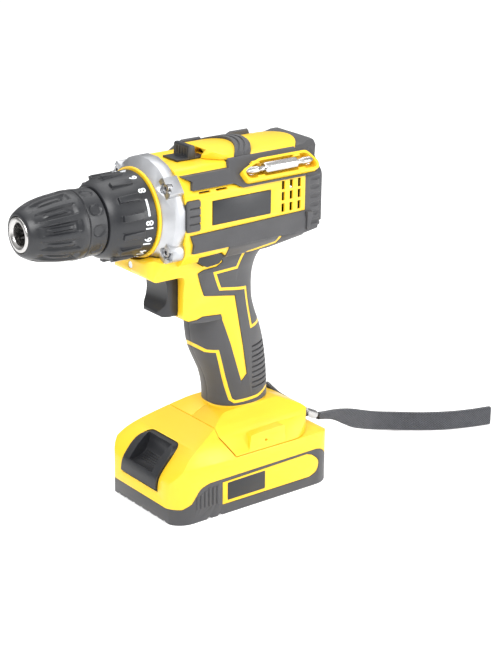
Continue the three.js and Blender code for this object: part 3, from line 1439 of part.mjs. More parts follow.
// Middle line of the doubled webbing, from the ferrule to its fold. It lies on its edge.
const ON_FLOOR = WEBBING_WIDTH / 2 + 0.4;
const webbingPath = [
  [STRAP_START + 14, -1.8, BATTERY_TOP - 6.7],
  [STRAP_START + 30, 0, 23.5],
  [STRAP_START + 52, 1.5, 14.6],
  [STRAP_START + 68, 1, 9.6],
  [STRAP_START + 82, -3, ON_FLOOR + 0.6],
  [STRAP_START + 97, -13, ON_FLOOR],
  [STRAP_START + 112, -22, ON_FLOOR],
  [STRAP_START + 127, -28, ON_FLOOR],
  [STRAP_START + 141, -32, ON_FLOOR],
];

function makeStrap() {
  piece('strap_cord', swept(circle(CORD_DIAMETER / 2, 8), cordPath, 30), WEBBING);
  piece('strap_ferrule', rod(FERRULE_FROM, FERRULE_TO, 3.4, 14), STEEL);
  const [u, v] = [WEBBING_THICKNESS / 2, WEBBING_WIDTH / 2];
  const section = [
    [-u, -v + 0.8],
    [-u + 0.8, -v],
    [u - 0.8, -v],
    [u, -v + 0.8],
    [u, v - 0.8],
    [u - 0.8, v],
    [-u + 0.8, v],
    [-u, v - 0.8],
  ];
  piece('strap_webbing', swept(section, webbingPath, 24), WEBBING);
}

makeHousing();
makeGrip(-1, 'left');
makeGrip(1, 'right');
makeMouldings(-1, 'left');
makeMouldings(1, 'right');
makeTop();
makeRearCap();
makeTray();
makeBit();
makeGearCase();
makeCollar();
makeChuck();
makeGears();
makeMotor();
makeControls();
makeBattery();
makeTerminals();
makeStrap();

export default drill;
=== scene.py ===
"""Cordless drill driver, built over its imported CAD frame. Shapes are worked out in millimetres
and turned into metres as each piece is finished. The nose points along -X and +Z is up."""

import json
import math

import bmesh
import bpy
from mathutils import Matrix, Vector

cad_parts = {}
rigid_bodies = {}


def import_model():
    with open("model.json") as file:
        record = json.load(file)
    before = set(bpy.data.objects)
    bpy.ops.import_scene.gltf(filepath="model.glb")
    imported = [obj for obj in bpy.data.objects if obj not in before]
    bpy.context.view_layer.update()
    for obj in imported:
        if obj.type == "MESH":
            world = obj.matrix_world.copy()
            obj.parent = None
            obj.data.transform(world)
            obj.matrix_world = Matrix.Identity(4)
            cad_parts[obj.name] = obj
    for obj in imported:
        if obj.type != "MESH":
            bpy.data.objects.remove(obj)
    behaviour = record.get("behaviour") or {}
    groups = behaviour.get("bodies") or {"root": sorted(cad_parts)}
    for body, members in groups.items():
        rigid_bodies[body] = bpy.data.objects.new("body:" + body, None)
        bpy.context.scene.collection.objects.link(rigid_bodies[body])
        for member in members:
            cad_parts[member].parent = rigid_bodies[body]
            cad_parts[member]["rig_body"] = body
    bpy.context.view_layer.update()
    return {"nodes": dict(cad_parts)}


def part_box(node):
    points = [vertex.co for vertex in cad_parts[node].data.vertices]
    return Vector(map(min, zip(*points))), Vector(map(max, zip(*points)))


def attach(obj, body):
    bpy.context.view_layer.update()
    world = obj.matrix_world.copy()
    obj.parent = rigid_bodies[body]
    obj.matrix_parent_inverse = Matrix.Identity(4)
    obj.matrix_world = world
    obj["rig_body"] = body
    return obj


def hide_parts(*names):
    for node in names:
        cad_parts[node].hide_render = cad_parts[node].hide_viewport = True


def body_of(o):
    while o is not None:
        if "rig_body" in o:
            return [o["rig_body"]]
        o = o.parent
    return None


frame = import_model()
scene = bpy.context.scene

# ---------------------------------------------------------------- sizes, in millimetres
MM = 0.001
FAR = 400.0
GAP = 0.3
SLIDE_GAP = 0.45


def cad(node):
    """Lowest and highest corner of a CAD node, in millimetres."""
    low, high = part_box(node)
    return Vector(low) / MM, Vector(high) / MM


AXIS_Z = sum(c.z for c in cad("chuck_body")) / 2
BARREL_HALF_WIDTH = 31.5
BARREL_FRONT = -49.7
BARREL_REAR = cad("rear_cap")[0].x - GAP
DECK = 27.0
DECK_HALF_WIDTH = 20.0
SHOULDER = 13.5
SIDE_BOTTOM = -21.0
BELLY = -29.0
TAIL_FRONT = 12.0
TAIL_SLOPE = 0.23
TAIL_REACH = 64.0
WALL = 2.4
NECK_TOP_HALF_WIDTH = 24.5
NECK_REAR = -4.0
HANDLE_HALF_WIDTH = 17.0
RUBBER = 1.6
PROUD = 0.4
STRIPE = 2.0
STRIPE_GAP = 0.08
SPAR_PROUD = 1.6
PANEL_DEPTH = 0.8
PAD_PROUD = 1.0

HALF_LENGTH = 60.7
HALF_BATTERY = cad("battery_top_shell")[1].y
BATTERY_TOP = 34.0
FOOT_FRONT = -23.0
FOOT_REAR = 52.0
FOOT_TOP = 57.0
LEFT_RIGHT = ((-1, "left"), (1, "right"))

# ---------------------------------------------------------------- camera, floor and light
FOCAL = 98.35
CAMERA_AT = (-0.60821, -0.80750, 0.47125)
CAMERA_RIGHT = (0.7913, -0.6114, 0.0120)
CAMERA_UP = (0.1993, 0.2763, 0.9402)
CAMERA_BACK = (-0.5781, -0.7415, 0.3405)
FLOOR_HALF = 6000.0
FLOOR_GLOW = 0.3
SKY_STRENGTH = 0.8
SKY_LEVELS = ((0.0, 0.35), (0.3, 0.42), (0.6, 1.0), (1.0, 1.0))


def make_camera():
    data = bpy.data.cameras.new("camera")
    data.lens = FOCAL
    data.sensor_width = 36
    camera = bpy.data.objects.new("camera", data)
    turn = Matrix((CAMERA_RIGHT, CAMERA_UP, CAMERA_BACK)).transposed().to_4x4()
    camera.matrix_world = Matrix.Translation(CAMERA_AT) @ turn
    scene.collection.objects.link(camera)
    scene.camera = camera


def aimed_light(name, at, size, power, target=(0, 0, 0.11)):
    data = bpy.data.lights.new(name, "AREA")
    data.shape = "RECTANGLE"
    data.size, data.size_y = size
    data.energy = power
    light = bpy.data.objects.new(name, data)
    light.location = at
    way = Vector(target) - Vector(at)
    light.rotation_euler = way.to_track_quat("-Z", "Y").to_euler()
    scene.collection.objects.link(light)


def make_floor():
    half = FLOOR_HALF
    corners = [(-half, -half, 0), (half, -half, 0), (half, half, 0), (-half, half, 0)]
    floor = solid("floor", corners, [(0, 1, 2, 3)])
    floor.data.transform(Matrix.Scale(MM, 4))
    white = plain("floor_white", (0.93, 0.93, 0.93), 0.6)
    shader = white.node_tree.nodes["Principled BSDF"]
    shader.inputs["Emission Color"].default_value = (1, 1, 1, 1)
    shader.inputs["Emission Strength"].default_value = FLOOR_GLOW
    floor.data.materials.append(white)


def make_studio():
    """Pale floor, a sky that is brighter overhead, and three soft lights."""
    make_floor()
    world = bpy.data.worlds.new("studio")
    world.use_nodes = True
    tree = world.node_tree
    place = tree.nodes.new("ShaderNodeTexCoord")
    split = tree.nodes.new("ShaderNodeSeparateXYZ")
    ramp = tree.nodes.new("ShaderNodeValToRGB")
    stops = ramp.color_ramp.elements
    for position, _ in SKY_LEVELS[1:-1]:
        stops.new(position)
    for stop, (_, level) in zip(stops, SKY_LEVELS):
        stop.color = (level, level, level, 1)
    tree.links.new(place.outputs["Generated"], split.inputs["Vector"])
    tree.links.new(split.outputs["Z"], ramp.inputs["Fac"])
    tree.links.new(ramp.outputs["Color"], tree.nodes["Background"].inputs["Color"])
    tree.nodes["Background"].inputs["Strength"].default_value = SKY_STRENGTH
    scene.world = world
    scene.view_settings.view_transform = "Standard"
    aimed_light("key", (-0.9, -0.7, 1.1), (0.8, 0.8), 17)
    aimed_light("side", (0.8, -1.0, 0.5), (0.5, 0.9), 9)
    aimed_light("top", (0.1, 0.3, 1.4), (1.2, 1.2), 10)


# ---------------------------------------------------------------- materials
def plain(name, colour, roughness, metallic=0.0):
    material = bpy.data.materials.new(name)
    material.use_nodes = True
    shader = material.node_tree.nodes["Principled BSDF"]
    shader.inputs["Base Color"].default_value = (*colour, 1)
    shader.inputs["Roughness"].default_value = roughness
    shader.inputs["Metallic"].default_value = metallic
    return material


class Nodes:
    """Short names for the nodes that the materials share."""

    def __init__(self, material):
        self.tree = material.node_tree
        self.shader = self.tree.nodes["Principled BSDF"]
        self.place = self.add("ShaderNodeTexCoord").outputs["Object"]

    def add(self, kind, **settings):
        node = self.tree.nodes.new(kind)
        for key, value in settings.items():
            setattr(node, key, value)
        return node

    def link(self, source, target):
        self.tree.links.new(source, target)

    def noise(self, scale, detail=3.0, stretch=None):
        node = self.add("ShaderNodeTexNoise")
        node.inputs["Scale"].default_value = scale
        node.inputs["Detail"].default_value = detail
        place = self.place
        if stretch:
            mapping = self.add("ShaderNodeMapping")
            mapping.inputs["Scale"].default_value = stretch
            self.link(self.place, mapping.inputs["Vector"])
            place = mapping.outputs["Vector"]
        self.link(place, node.inputs["Vector"])
        return node.outputs["Fac"]

    def between(self, value, low, high, to_low=0.0, to_high=1.0):
        node = self.add("ShaderNodeMapRange")
        for key, number in zip(("From Min", "From Max", "To Min", "To Max"), (low, high, to_low, to_high)):
            node.inputs[key].default_value = number
        self.link(value, node.inputs["Value"])
        return node.outputs["Result"]

    def times(self, first, second):
        node = self.add("ShaderNodeMath", operation="MULTIPLY")
        self.link(first, node.inputs[0])
        self.link(second, node.inputs[1])
        return node.outputs["Value"]

    def mixed(self, amount, first, second):
        node = self.add("ShaderNodeMix", data_type="RGBA")
        self.link(amount, node.inputs[0])
        for socket, colour in ((node.inputs[6], first), (node.inputs[7], second)):
            if isinstance(colour, tuple):
                socket.default_value = (*colour, 1)
            else:
                self.link(colour, socket)
        return node.outputs[2]

    def worn_edges(self, radius, low, high):
        """1 where the surface turns sharply within the radius, 0 on flat stretches."""
        rounded_edge = self.add("ShaderNodeBevel", samples=4)
        rounded_edge.inputs["Radius"].default_value = radius
        straight = self.add("ShaderNodeNewGeometry").outputs["Normal"]
        compare = self.add("ShaderNodeVectorMath", operation="DOT_PRODUCT")
        self.link(rounded_edge.outputs["Normal"], compare.inputs[0])
        self.link(straight, compare.inputs[1])
        return self.between(compare.outputs["Value"], high, low)

    def bump(self, height, depth, strength=1.0, below=None):
        node = self.add("ShaderNodeBump")
        node.inputs["Distance"].default_value = depth
        node.inputs["Strength"].default_value = strength
        self.link(height, node.inputs["Height"])
        if below is not None:
            self.link(below, node.inputs["Normal"])
        return node.outputs["Normal"]


def scaled(colour, amount):
    return tuple(min(1.0, c * amount) for c in colour)


def moulded(name, colour, roughness, grain, depth, wear, mottle=0.08, sheen=0.0):
    """Moulded plastic or rubber: grain, soft mottling, scuffs in the gloss and paler worn edges."""
    material = plain(name, colour, roughness)
    n = Nodes(material)
    patches = n.between(n.noise(35, 4), 0.35, 0.65)
    body = n.mixed(patches, scaled(colour, 1 - mottle), scaled(colour, 1 + mottle))
    edge = n.times(n.worn_edges(0.0007, 0.82, 0.97), n.between(n.noise(220, 5), 0.42, 0.72))
    n.link(n.mixed(edge, body, wear), n.shader.inputs["Base Color"])
    scuffs = n.between(n.noise(90, 8, (1, 0.35, 1)), 0.3, 0.75, roughness - 0.07, roughness + 0.1)
    n.link(scuffs, n.shader.inputs["Roughness"])
    fine = n.bump(n.noise(grain, 2), depth, 0.6)
    broad = n.bump(n.noise(60, 3), depth * 3, 0.25, fine)
    n.link(broad, n.shader.inputs["Normal"])
    n.shader.inputs["Sheen Weight"].default_value = sheen
    n.shader.inputs["Sheen Roughness"].default_value = 0.6
    return material


def cast_metal(name, colour, roughness, grain, depth, streak=None):
    """Metal with a fine cast or turned surface, tarnish in patches and brighter edges."""
    material = plain(name, colour, roughness, 1.0)
    n = Nodes(material)
    tarnish = n.between(n.noise(55, 5), 0.35, 0.7)
    body = n.mixed(tarnish, colour, scaled(colour, 0.84))
    edge = n.worn_edges(0.0006, 0.82, 0.97)
    n.link(n.mixed(edge, body, scaled(colour, 1.18)), n.shader.inputs["Base Color"])
    gloss = n.between(n.noise(140, 5), 0.3, 0.7, roughness - 0.08, roughness + 0.08)
    n.link(gloss, n.shader.inputs["Roughness"])
    n.link(n.bump(n.noise(grain, 3, streak), depth, 0.5), n.shader.inputs["Normal"])
    return material


def woven(name, colour, scale, depth):
    """Woven webbing or braided cord: crossing threads, fuzzy sheen and uneven dye."""
    material = plain(name, colour, 0.85)
    n = Nodes(material)
    threads = []
    for turn in (0.785, -0.785):
        mapping = n.add("ShaderNodeMapping")
        mapping.inputs["Rotation"].default_value = (0, turn, 0)
        n.link(n.place, mapping.inputs["Vector"])
        wave = n.add("ShaderNodeTexWave")
        wave.inputs["Scale"].default_value = scale
        wave.inputs["Distortion"].default_value = 0.6
        n.link(mapping.outputs["Vector"], wave.inputs["Vector"])
        threads.append(wave.outputs["Fac"])
    weave = n.add("ShaderNodeMath", operation="MAXIMUM")
    n.link(threads[0], weave.inputs[0])
    n.link(threads[1], weave.inputs[1])
    shade = n.times(weave.outputs["Value"], n.between(n.noise(240, 4), 0.2, 0.8, 0.5, 1.0))
    n.link(n.mixed(shade, scaled(colour, 0.45), scaled(colour, 1.5)), n.shader.inputs["Base Color"])
    n.link(n.bump(weave.outputs["Value"], depth, 0.8), n.shader.inputs["Normal"])
    n.shader.inputs["Sheen Weight"].default_value = 0.25
    n.shader.inputs["Sheen Roughness"].default_value = 0.5
    return material


def clear_lens(name):
    """Frosted lens and printed numerals: milky, with a clear coat."""
    lens = plain(name, (0.9, 0.93, 0.96), 0.12)
    n = Nodes(lens)
    n.link(n.bump(n.noise(900, 2), 0.00003, 0.4), n.shader.inputs["Normal"])
    milky = n.mixed(n.noise(300, 2), (0.95, 0.96, 0.98), (0.78, 0.84, 0.9))
    n.link(milky, n.shader.inputs["Base Color"])
    n.shader.inputs["Coat Weight"].default_value = 0.6
    return lens


def make_finishes():
    """The materials, by the name of the record's material slot."""
    recipes = {
        "yellow_plastic": (moulded, (0.92, 0.58, 0.02), 0.36, 1500, 0.00003, (0.97, 0.72, 0.1), 0.02),
        "dark_plastic": (moulded, (0.017, 0.018, 0.021), 0.36, 1400, 0.00004, (0.085, 0.085, 0.09), 0.1),
        "grip_rubber": (moulded, (0.047, 0.047, 0.051), 0.58, 1100, 0.00007, (0.12, 0.12, 0.125), 0.07, 0.12),
        "lens": (clear_lens,),
        "alloy": (cast_metal, (0.5, 0.51, 0.53), 0.46, 1300, 0.00007),
        "steel": (cast_metal, (0.42, 0.42, 0.43), 0.34, 800, 0.00002, (12, 1, 1)),
        "bright_steel": (cast_metal, (0.55, 0.54, 0.53), 0.24, 700, 0.00002, (14, 1, 1)),
        "copper": (cast_metal, (0.72, 0.36, 0.2), 0.35, 500, 0.00003, (1, 9, 9)),
        "cell_wrap": (moulded, (0.03, 0.16, 0.08), 0.4, 900, 0.00002, (0.1, 0.3, 0.2)),
        "webbing": (woven, (0.045, 0.047, 0.055), 260, 0.0004),
    }
    return {name: make(name, *rest) for name, (make, *rest) in recipes.items()}


# ---------------------------------------------------------------- solids, in millimetres
def solid(name, points, faces):
    mesh = bpy.data.meshes.new(name)
    mesh.from_pydata([tuple(p) for p in points], [], faces)
    work = bmesh.new()
    work.from_mesh(mesh)
    bmesh.ops.recalc_face_normals(work, faces=work.faces)
    work.to_mesh(mesh)
    work.free()
    return placed(name, mesh)


def placed(name, mesh):
    obj = bpy.data.objects.new(name, mesh)
    scene.collection.objects.link(obj)
    return obj


def twin(obj):
    return placed("copy", obj.data.copy())


def drop(obj):
    mesh = obj.data
    bpy.data.objects.remove(obj)
    bpy.data.meshes.remove(mesh)


def applied(obj):
    """A mesh of the object with its modifiers worked in."""
    graph = bpy.context.evaluated_depsgraph_get()
    graph.update()
    return bpy.data.meshes.new_from_object(obj.evaluated_get(graph))


def boolean(operation, base, others):
    if not others:
        return base
    for other in others:
        step = base.modifiers.new("step", "BOOLEAN")
        step.operation = operation
        step.solver = "MANIFOLD"
        step.object = other
    mesh = applied(base)
    if not mesh.polygons:
        raise RuntimeError(f"{operation} of {base.name} left nothing")
    for other in others:
        drop(other)
    drop(base)
    return placed("solid", mesh)


def union(*solids):
    return boolean("UNION", solids[0], solids[1:])


def cut(base, *others):
    return boolean("DIFFERENCE", base, others)


def meet(base, *others):
    return boolean("INTERSECT", base, others)


AXES = {
    "X": lambda u, v, w: (w, u, v),
    "Y": lambda u, v, w: (u, w, v),
    "Z": lambda u, v, w: (u, v, w),
}


def skinned(name, points, size):
    """Solid through rings of points, the same number in each, with its ends closed."""
    rows = len(points) // size
    faces = [tuple(range(size)), tuple(range((rows - 1) * size, rows * size))]
    for row in range(rows - 1):
        a, b = row * size, (row + 1) * size
        faces += [(a + k, a + (k + 1) % size, b + (k + 1) % size, b + k) for k in range(size)]
    return solid(name, points, faces)


def prism(outline, along, low=-FAR, high=FAR):
    """Closed outline run along X, Y or Z. Its points are the other two coordinates, in order."""
    place = AXES[along]
    return skinned("prism", [place(u, v, w) for w in (low, high) for u, v in outline], len(outline))


def block(x0, x1, y0, y1, z0, z1):
    return prism([(x0, y0), (x1, y0), (x1, y1), (x0, y1)], "Z", z0, z1)


def everywhere(z0, z1, x0=-FAR, x1=FAR):
    """A block right across the drill between two heights."""
    return block(x0, x1, -FAR, FAR, z0, z1)


def lathe(profile, sides, wave=None, y=0.0, z=None, turn=0.0):
    """Closed loop of (x, radius) points turned about a line along X; wave may change each radius."""
    centre = AXIS_Z if z is None else z
    points = []
    for x, radius in profile:
        for i in range(sides):
            angle = 2 * math.pi * i / sides + turn
            r = wave(x, angle, radius) if wave else radius
            points.append((x, y + r * math.sin(angle), centre + r * math.cos(angle)))
    faces = []
    rings = len(profile)
    for a in range(rings):
        b = (a + 1) % rings
        for i in range(sides):
            j = (i + 1) % sides
            faces.append((a * sides + i, a * sides + j, b * sides + j, b * sides + i))
    return solid("lathe", points, faces)


def rod(start, end, radius, sides=24, end_radius=None):
    start, end = Vector(start), Vector(end)
    way = (end - start).normalized()
    across = way.orthogonal().normalized()
    up = way.cross(across)
    points = []
    for centre, r in ((start, radius), (end, radius if end_radius is None else end_radius)):
        for i in range(sides):
            angle = 2 * math.pi * i / sides
            points.append(centre + r * (math.cos(angle) * across + math.sin(angle) * up))
    return skinned("rod", points, sides)


def rounded(outline, radius, steps=5):
    result = []
    for i, point in enumerate(outline):
        corner = Vector(point)
        before, after = Vector(outline[i - 1]), Vector(outline[(i + 1) % len(outline)])
        reach = min(radius, (before - corner).length / 2.05, (after - corner).length / 2.05)
        start = corner + (before - corner).normalized() * reach
        end = corner + (after - corner).normalized() * reach
        for step in range(steps + 1):
            t = step / steps
            result.append(tuple((1 - t) ** 2 * start + 2 * t * (1 - t) * corner + t * t * end))
    return result


def inset(outline, amount):
    area = sum(a[0] * b[1] - b[0] * a[1] for a, b in zip(outline, outline[1:] + outline[:1]))
    turn = 1 if area > 0 else -1
    result = []
    for i, point in enumerate(outline):
        here = Vector(point)
        into = (here - Vector(outline[i - 1])).normalized()
        out = (Vector(outline[(i + 1) % len(outline)]) - here).normalized()
        normal = Vector((-into.y - out.y, into.x + out.x)).normalized()
        stretch = 1 / max(0.35, normal.dot(Vector((-into.y, into.x))))
        result.append(tuple(here + normal * amount * stretch * turn))
    return result


def both_sides(half):
    return list(half) + [(-u, v) for u, v in reversed(half)]


def on_axis(outline):
    return [(u, v + AXIS_Z) for u, v in outline]


def eased(obj, width, segments, angle, miter="MITER_SHARP"):
    """The same solid with its edges that are sharper than the angle rounded."""
    ease = obj.modifiers.new("ease", "BEVEL")
    ease.width = width
    ease.segments = segments
    ease.limit_method = "ANGLE"
    ease.angle_limit = math.radians(angle)
    ease.miter_outer = miter
    mesh = applied(obj)
    drop(obj)
    return placed("eased", mesh)


def finished(obj, node, kind, finish, bevel=0.4, segments=2, angle=30, body=None, facets=30):
    """Turns a solid into a piece: edges eased, metres, material, and the CAD node that it stands for.
    A piece that stands for none is given the body that it rides on."""
    work = bmesh.new()
    work.from_mesh(obj.data)
    bmesh.ops.remove_doubles(work, verts=work.verts, dist=0.002)
    bmesh.ops.dissolve_limit(work, angle_limit=math.radians(0.5), verts=work.verts, edges=work.edges)
    work.to_mesh(obj.data)
    work.free()
    if bevel:
        obj = eased(obj, bevel, segments, angle, "MITER_ARC")
    obj.name = f"{node}_{kind}"
    obj.data.name = obj.name
    obj.data.transform(Matrix.Scale(MM, 4))
    obj.data.polygons.foreach_set("use_smooth", [True] * len(obj.data.polygons))
    obj.data.set_sharp_from_angle(angle=math.radians(facets))
    obj.data.materials.clear()
    obj.data.materials.append(FINISHES[finish])
    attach(obj, body or body_of(frame["nodes"][node])[0])
    if not body:
        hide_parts(node)
    return obj


COPIES = {}


def made_once(name, amount, make):
    """A copy of the solid that make() gives, which is worked out only once."""
    if (name, amount) not in COPIES:
        made = make(amount)
        COPIES[(name, amount)] = made.data.copy()
        drop(made)
    return placed(name, COPIES[(name, amount)].copy())


# ---------------------------------------------------------------- housing shape
CHIN_FRONT = -66.5
CHIN_CORNER = 12.0
NECK_ROUNDING = 4.5
BARREL_SECTION = on_axis(both_sides([
    (24.5, BELLY), (BARREL_HALF_WIDTH, SIDE_BOTTOM), (BARREL_HALF_WIDTH, SHOULDER), (DECK_HALF_WIDTH, DECK),
]))
NECK_SECTION = on_axis(both_sides([
    (16.4, -76), (17, -48), (19.5, -37), (NECK_TOP_HALF_WIDTH, -22), (NECK_TOP_HALF_WIDTH, -10),
]))
NECK_OUTLINE = on_axis([
    (CHIN_FRONT, -23.5), (CHIN_FRONT, -34), (-63.2, -37.4), (-41, -37.6), (-41, -60.6), (-41.5, -64.5),
    (-36, -67.6), (-25, -69.5), (NECK_REAR, -69.5), (NECK_REAR, -12), (BARREL_FRONT, -12),
    (BARREL_FRONT, -23.5),
])
NECK_HOLLOW = on_axis([(-36, -12), (-36, -62), (-18, -66), (NECK_REAR, -66), (NECK_REAR, -12)])
HANDLE_BOTTOM = FOOT_TOP - 5
HANDLE_TOP = AXIS_Z - 24
STATIONS = [
    (HANDLE_BOTTOM, -10.5, 30.4, 0), (HANDLE_BOTTOM + 13.5, -11, 30.2, 0),
    (HANDLE_BOTTOM + 24.5, -13.6, 29.6, 0), (HANDLE_BOTTOM + 35.5, -18.8, 28.4, 0),
    (HANDLE_BOTTOM + 44, -22.4, 26.8, 0), (HANDLE_BOTTOM + 52.5, -23.9, 24.3, 0),
    (HANDLE_TOP - 49.6, -24.6, 20.9, 0), (HANDLE_TOP - 41, -25.2, 18.2, 0),
    (HANDLE_TOP - 31.6, -26, 17.4, 0), (HANDLE_TOP - 22.6, -26, 17.8, 0.4),
    (HANDLE_TOP - 15, -26, 19.4, 2), (HANDLE_TOP - 9.6, -26, 22.5, 3.6),
    (HANDLE_TOP - 4.6, -26, 28, 5.6), (HANDLE_TOP, -26, 33.5, 7),
]


def station_at(height):
    """Front, back and extra half width of the handle, smooth between the stations."""
    last = len(STATIONS) - 1
    i = max(k for k in range(last) if k == 0 or STATIONS[k][0] <= height)
    before, start = STATIONS[max(i - 1, 0)], STATIONS[i]
    end, after = STATIONS[i + 1], STATIONS[min(i + 2, last)]
    run = end[0] - start[0]
    t = (height - start[0]) / run
    result = []
    for k in (1, 2, 3):
        slope_in = (end[k] - before[k]) / (end[0] - before[0])
        slope_out = (after[k] - start[k]) / (after[0] - start[0])
        result.append(
            (2 * t**3 - 3 * t**2 + 1) * start[k] + (t**3 - 2 * t**2 + t) * run * slope_in
            + (3 * t**2 - 2 * t**3) * end[k] + (t**3 - t**2) * run * slope_out
        )
    return result


def handle(amount, sides=80, steps=56):
    """The grip, rounder at its front, with each level taken from the stations."""
    points = []
    for s in range(steps + 1):
        height = HANDLE_BOTTOM + (HANDLE_TOP - HANDLE_BOTTOM) * s / steps
        front, back, wider = station_at(height)
        for i in range(sides):
            angle = 2 * math.pi * i / sides
            c, n = math.cos(angle), math.sin(angle)
            power = 0.86 if c < 0 else 1.0
            x = math.copysign(abs(c) ** power, c) * ((back - front) / 2 - amount)
            y = math.copysign(abs(n) ** power, n) * (HANDLE_HALF_WIDTH + wider - amount)
            points.append(((front + back) / 2 + x, y, height))
    return skinned("handle", points, sides)


def tail_zone(amount):
    """What is cut from under the barrel, so that its belly rises to the rear."""
    under = BELLY - 3
    start = BELLY + amount
    end = start + TAIL_SLOPE * (TAIL_REACH - TAIL_FRONT)
    return on_axis([(TAIL_FRONT, under), (TAIL_FRONT, start), (TAIL_REACH, end), (TAIL_REACH, under)])


def barrel(amount, front=BARREL_FRONT, rear=BARREL_REAR):
    outline = rounded(inset(BARREL_SECTION, amount), 2.2)
    return cut(prism(outline, "X", front, rear), prism(tail_zone(max(amount, 0)), "Y"))


def rounded_plan(x0, x1, half, front, rear, steps=10):
    def arc(cx, cy, r, start):
        angles = [start + k * math.pi / 2 / steps for k in range(steps + 1)]
        return [(cx + r * math.cos(a), cy + r * math.sin(a)) for a in angles]
    quarter = math.pi / 2
    return [
        *arc(x1 - rear, half - rear, rear, 0), *arc(x0 + front, half - front, front, quarter),
        *arc(x0 + front, front - half, front, 2 * quarter), *arc(x1 - rear, rear - half, rear, 3 * quarter),
    ]


def neck(amount):
    """Neck and chin. Its front corners are round in plan and in side view."""
    from_front = prism(rounded(inset(NECK_SECTION, amount), 5, 8), "X")
    outline = inset(rounded(NECK_OUTLINE, 5, 6), amount)
    plan = inset(rounded_plan(CHIN_FRONT, FAR, NECK_TOP_HALF_WIDTH + 0.1, CHIN_CORNER, 2), amount)
    plain_neck = meet(from_front, prism(outline, "Y"), prism(plan, "Z"))
    return eased(plain_neck, max(1.0, NECK_ROUNDING - amount), 5, 55)


def body(amount):
    return made_once("body", amount, lambda a: union(barrel(a), neck(a), handle(a)))


def smooth_line(points, steps=6):
    """Points joined by a curve that passes through all of them."""
    points = [Vector(p) for p in points]
    result = []
    for i in range(len(points) - 1):
        before = points[max(i - 1, 0)]
        start, end = points[i], points[i + 1]
        after = points[min(i + 2, len(points) - 1)]
        for s in range(steps):
            t = s / steps
            result.append(tuple(
                0.5 * (2 * start + (end - before) * t + (2 * before - 5 * start + 4 * end - after) * t * t
                       + (3 * start - before - 3 * end + after) * t**3)
            ))
    return result + [tuple(points[-1])]


BASE_SIDE = [
    (-HALF_LENGTH, 0),
    *smooth_line([
        (-61.3, 20), (-59.5, 27.5), (-50.7, 37.5), (-41.7, 43), (-24, 50.5), (-12, 56), (0, 56.6),
    ]),
    (30, FOOT_TOP), (44, 51), (52, 43), (53, BATTERY_TOP), (58.7, 33), (HALF_LENGTH, 26), (HALF_LENGTH, 0),
]
BASE_FRONT = both_sides([
    (HALF_BATTERY, 0),
    *smooth_line([(HALF_BATTERY, 25), (35, 34), (30.5, 43), (23.5, 51)]),
    (16.5, FOOT_TOP),
])
BASE_PLAN = rounded_plan(-HALF_LENGTH - 1, HALF_LENGTH, HALF_BATTERY, 14, 14)
FOOT_PLAN = rounded_plan(FOOT_FRONT - 20, FOOT_REAR, HALF_BATTERY - 1, 4, 26)
RAIL_WEB, RAIL_HEAD, RAIL_UNDER, RAIL_TOP = 20, 23.5, 37.5, 41
SEAM_BEND, SEAM_SLANT = 46, 8
BOSS_SIDE = [(-5, 34.4), (-3.5, 45.2), (22, 46), (23.5, 34.4)]


def base(amount):
    """The whole base, foot and battery together."""
    return made_once("base", amount, lambda a: meet(
        prism(inset(rounded(BASE_SIDE, 1.5, 2), a), "Y"),
        prism(inset(BASE_FRONT, a), "X"),
        prism(inset(BASE_PLAN, a), "Z"),
    ))


def foot_region(amount):
    """Side view of the room above the battery, from the seam across the base to the rear."""
    front, top = FOOT_FRONT + amount, BATTERY_TOP + amount
    return [(front, FAR), (front, SEAM_BEND + amount), (front + SEAM_SLANT, top), (FAR, top), (FAR, FAR)]


def rail(amount, x0, x1):
    """The battery's rail, or with an amount the groove that it slides in."""
    web, head, under = RAIL_WEB + amount, RAIL_HEAD + amount, RAIL_UNDER - amount
    return prism(both_sides([(web, 31), (web, under), (head, under), (head, RAIL_TOP + amount)]), "X", x0, x1)


CORD_HOLE_FROM = (58, -13, 36)
CORD_HOLE_TO = (40, 8, 55)
CORD_RADIUS = 1.3


def foot():
    outer = meet(base(0), prism(FOOT_PLAN, "Z"), prism(foot_region(GAP / 2 + 0.3), "Y"))
    outer = eased(outer, 1.6, 3, 35)
    bosses = [prism(rounded(BOSS_SIDE, 1.2, 3), "Y", *span) for span in ((-34.6, -24), (24, 34.6))]
    return cut(union(outer, *bosses), rail(SLIDE_GAP, FOOT_FRONT - 1, 38.3))


# ---------------------------------------------------------------- zones of the soft mouldings
PAST = 70
GRIP_BOTTOM = FOOT_TOP + 0.8
GRIP_ZONE = on_axis([
    (-19, -20.5), (-16, -33), (-19.5, -35.5), (-29, -36), (-32.5, -37.5), (-26, -53), (-3.5, -57),
    (3, -90), (6.2, -109), (2.1, -113.5), (-6.4, -87), (-13.6, -67.3), (-27, -66), (-31, -67.2),
    (-PAST, -67.2),
]) + [(-PAST, GRIP_BOTTOM), (PAST, GRIP_BOTTOM)] + on_axis([(PAST, -20.5)])
WEB_ZONE = on_axis([
    (20, -16), (17, -25), (-1.3, -28.4), (-4, -39), (-20, -39.6), (-14.6, -51), (5.2, -54.2),
    (10, -80), (20, -79.5), (PAST, -79.5), (PAST, -16),
])
LOWER_ZONE = on_axis([
    (-PAST, -87), (-25.5, -87), (-19.6, -91), (-14, -91.3), (-7.7, -111.6), (-4, -124.5),
    (-1.7, -126.3), (15, -125.4), (23, -123.4), (PAST, -119), (PAST, -FAR), (-PAST, -FAR),
])
UPPER_SPAR = on_axis([
    (-44.5, 16.5), (-42, 20.5), (-48, 23.6), (-14.5, 23.6), (-11, 31), (BARREL_REAR, 31),
    (BARREL_REAR, 13.5), (-9.8, 13.5), (-15.8, 16.5),
])
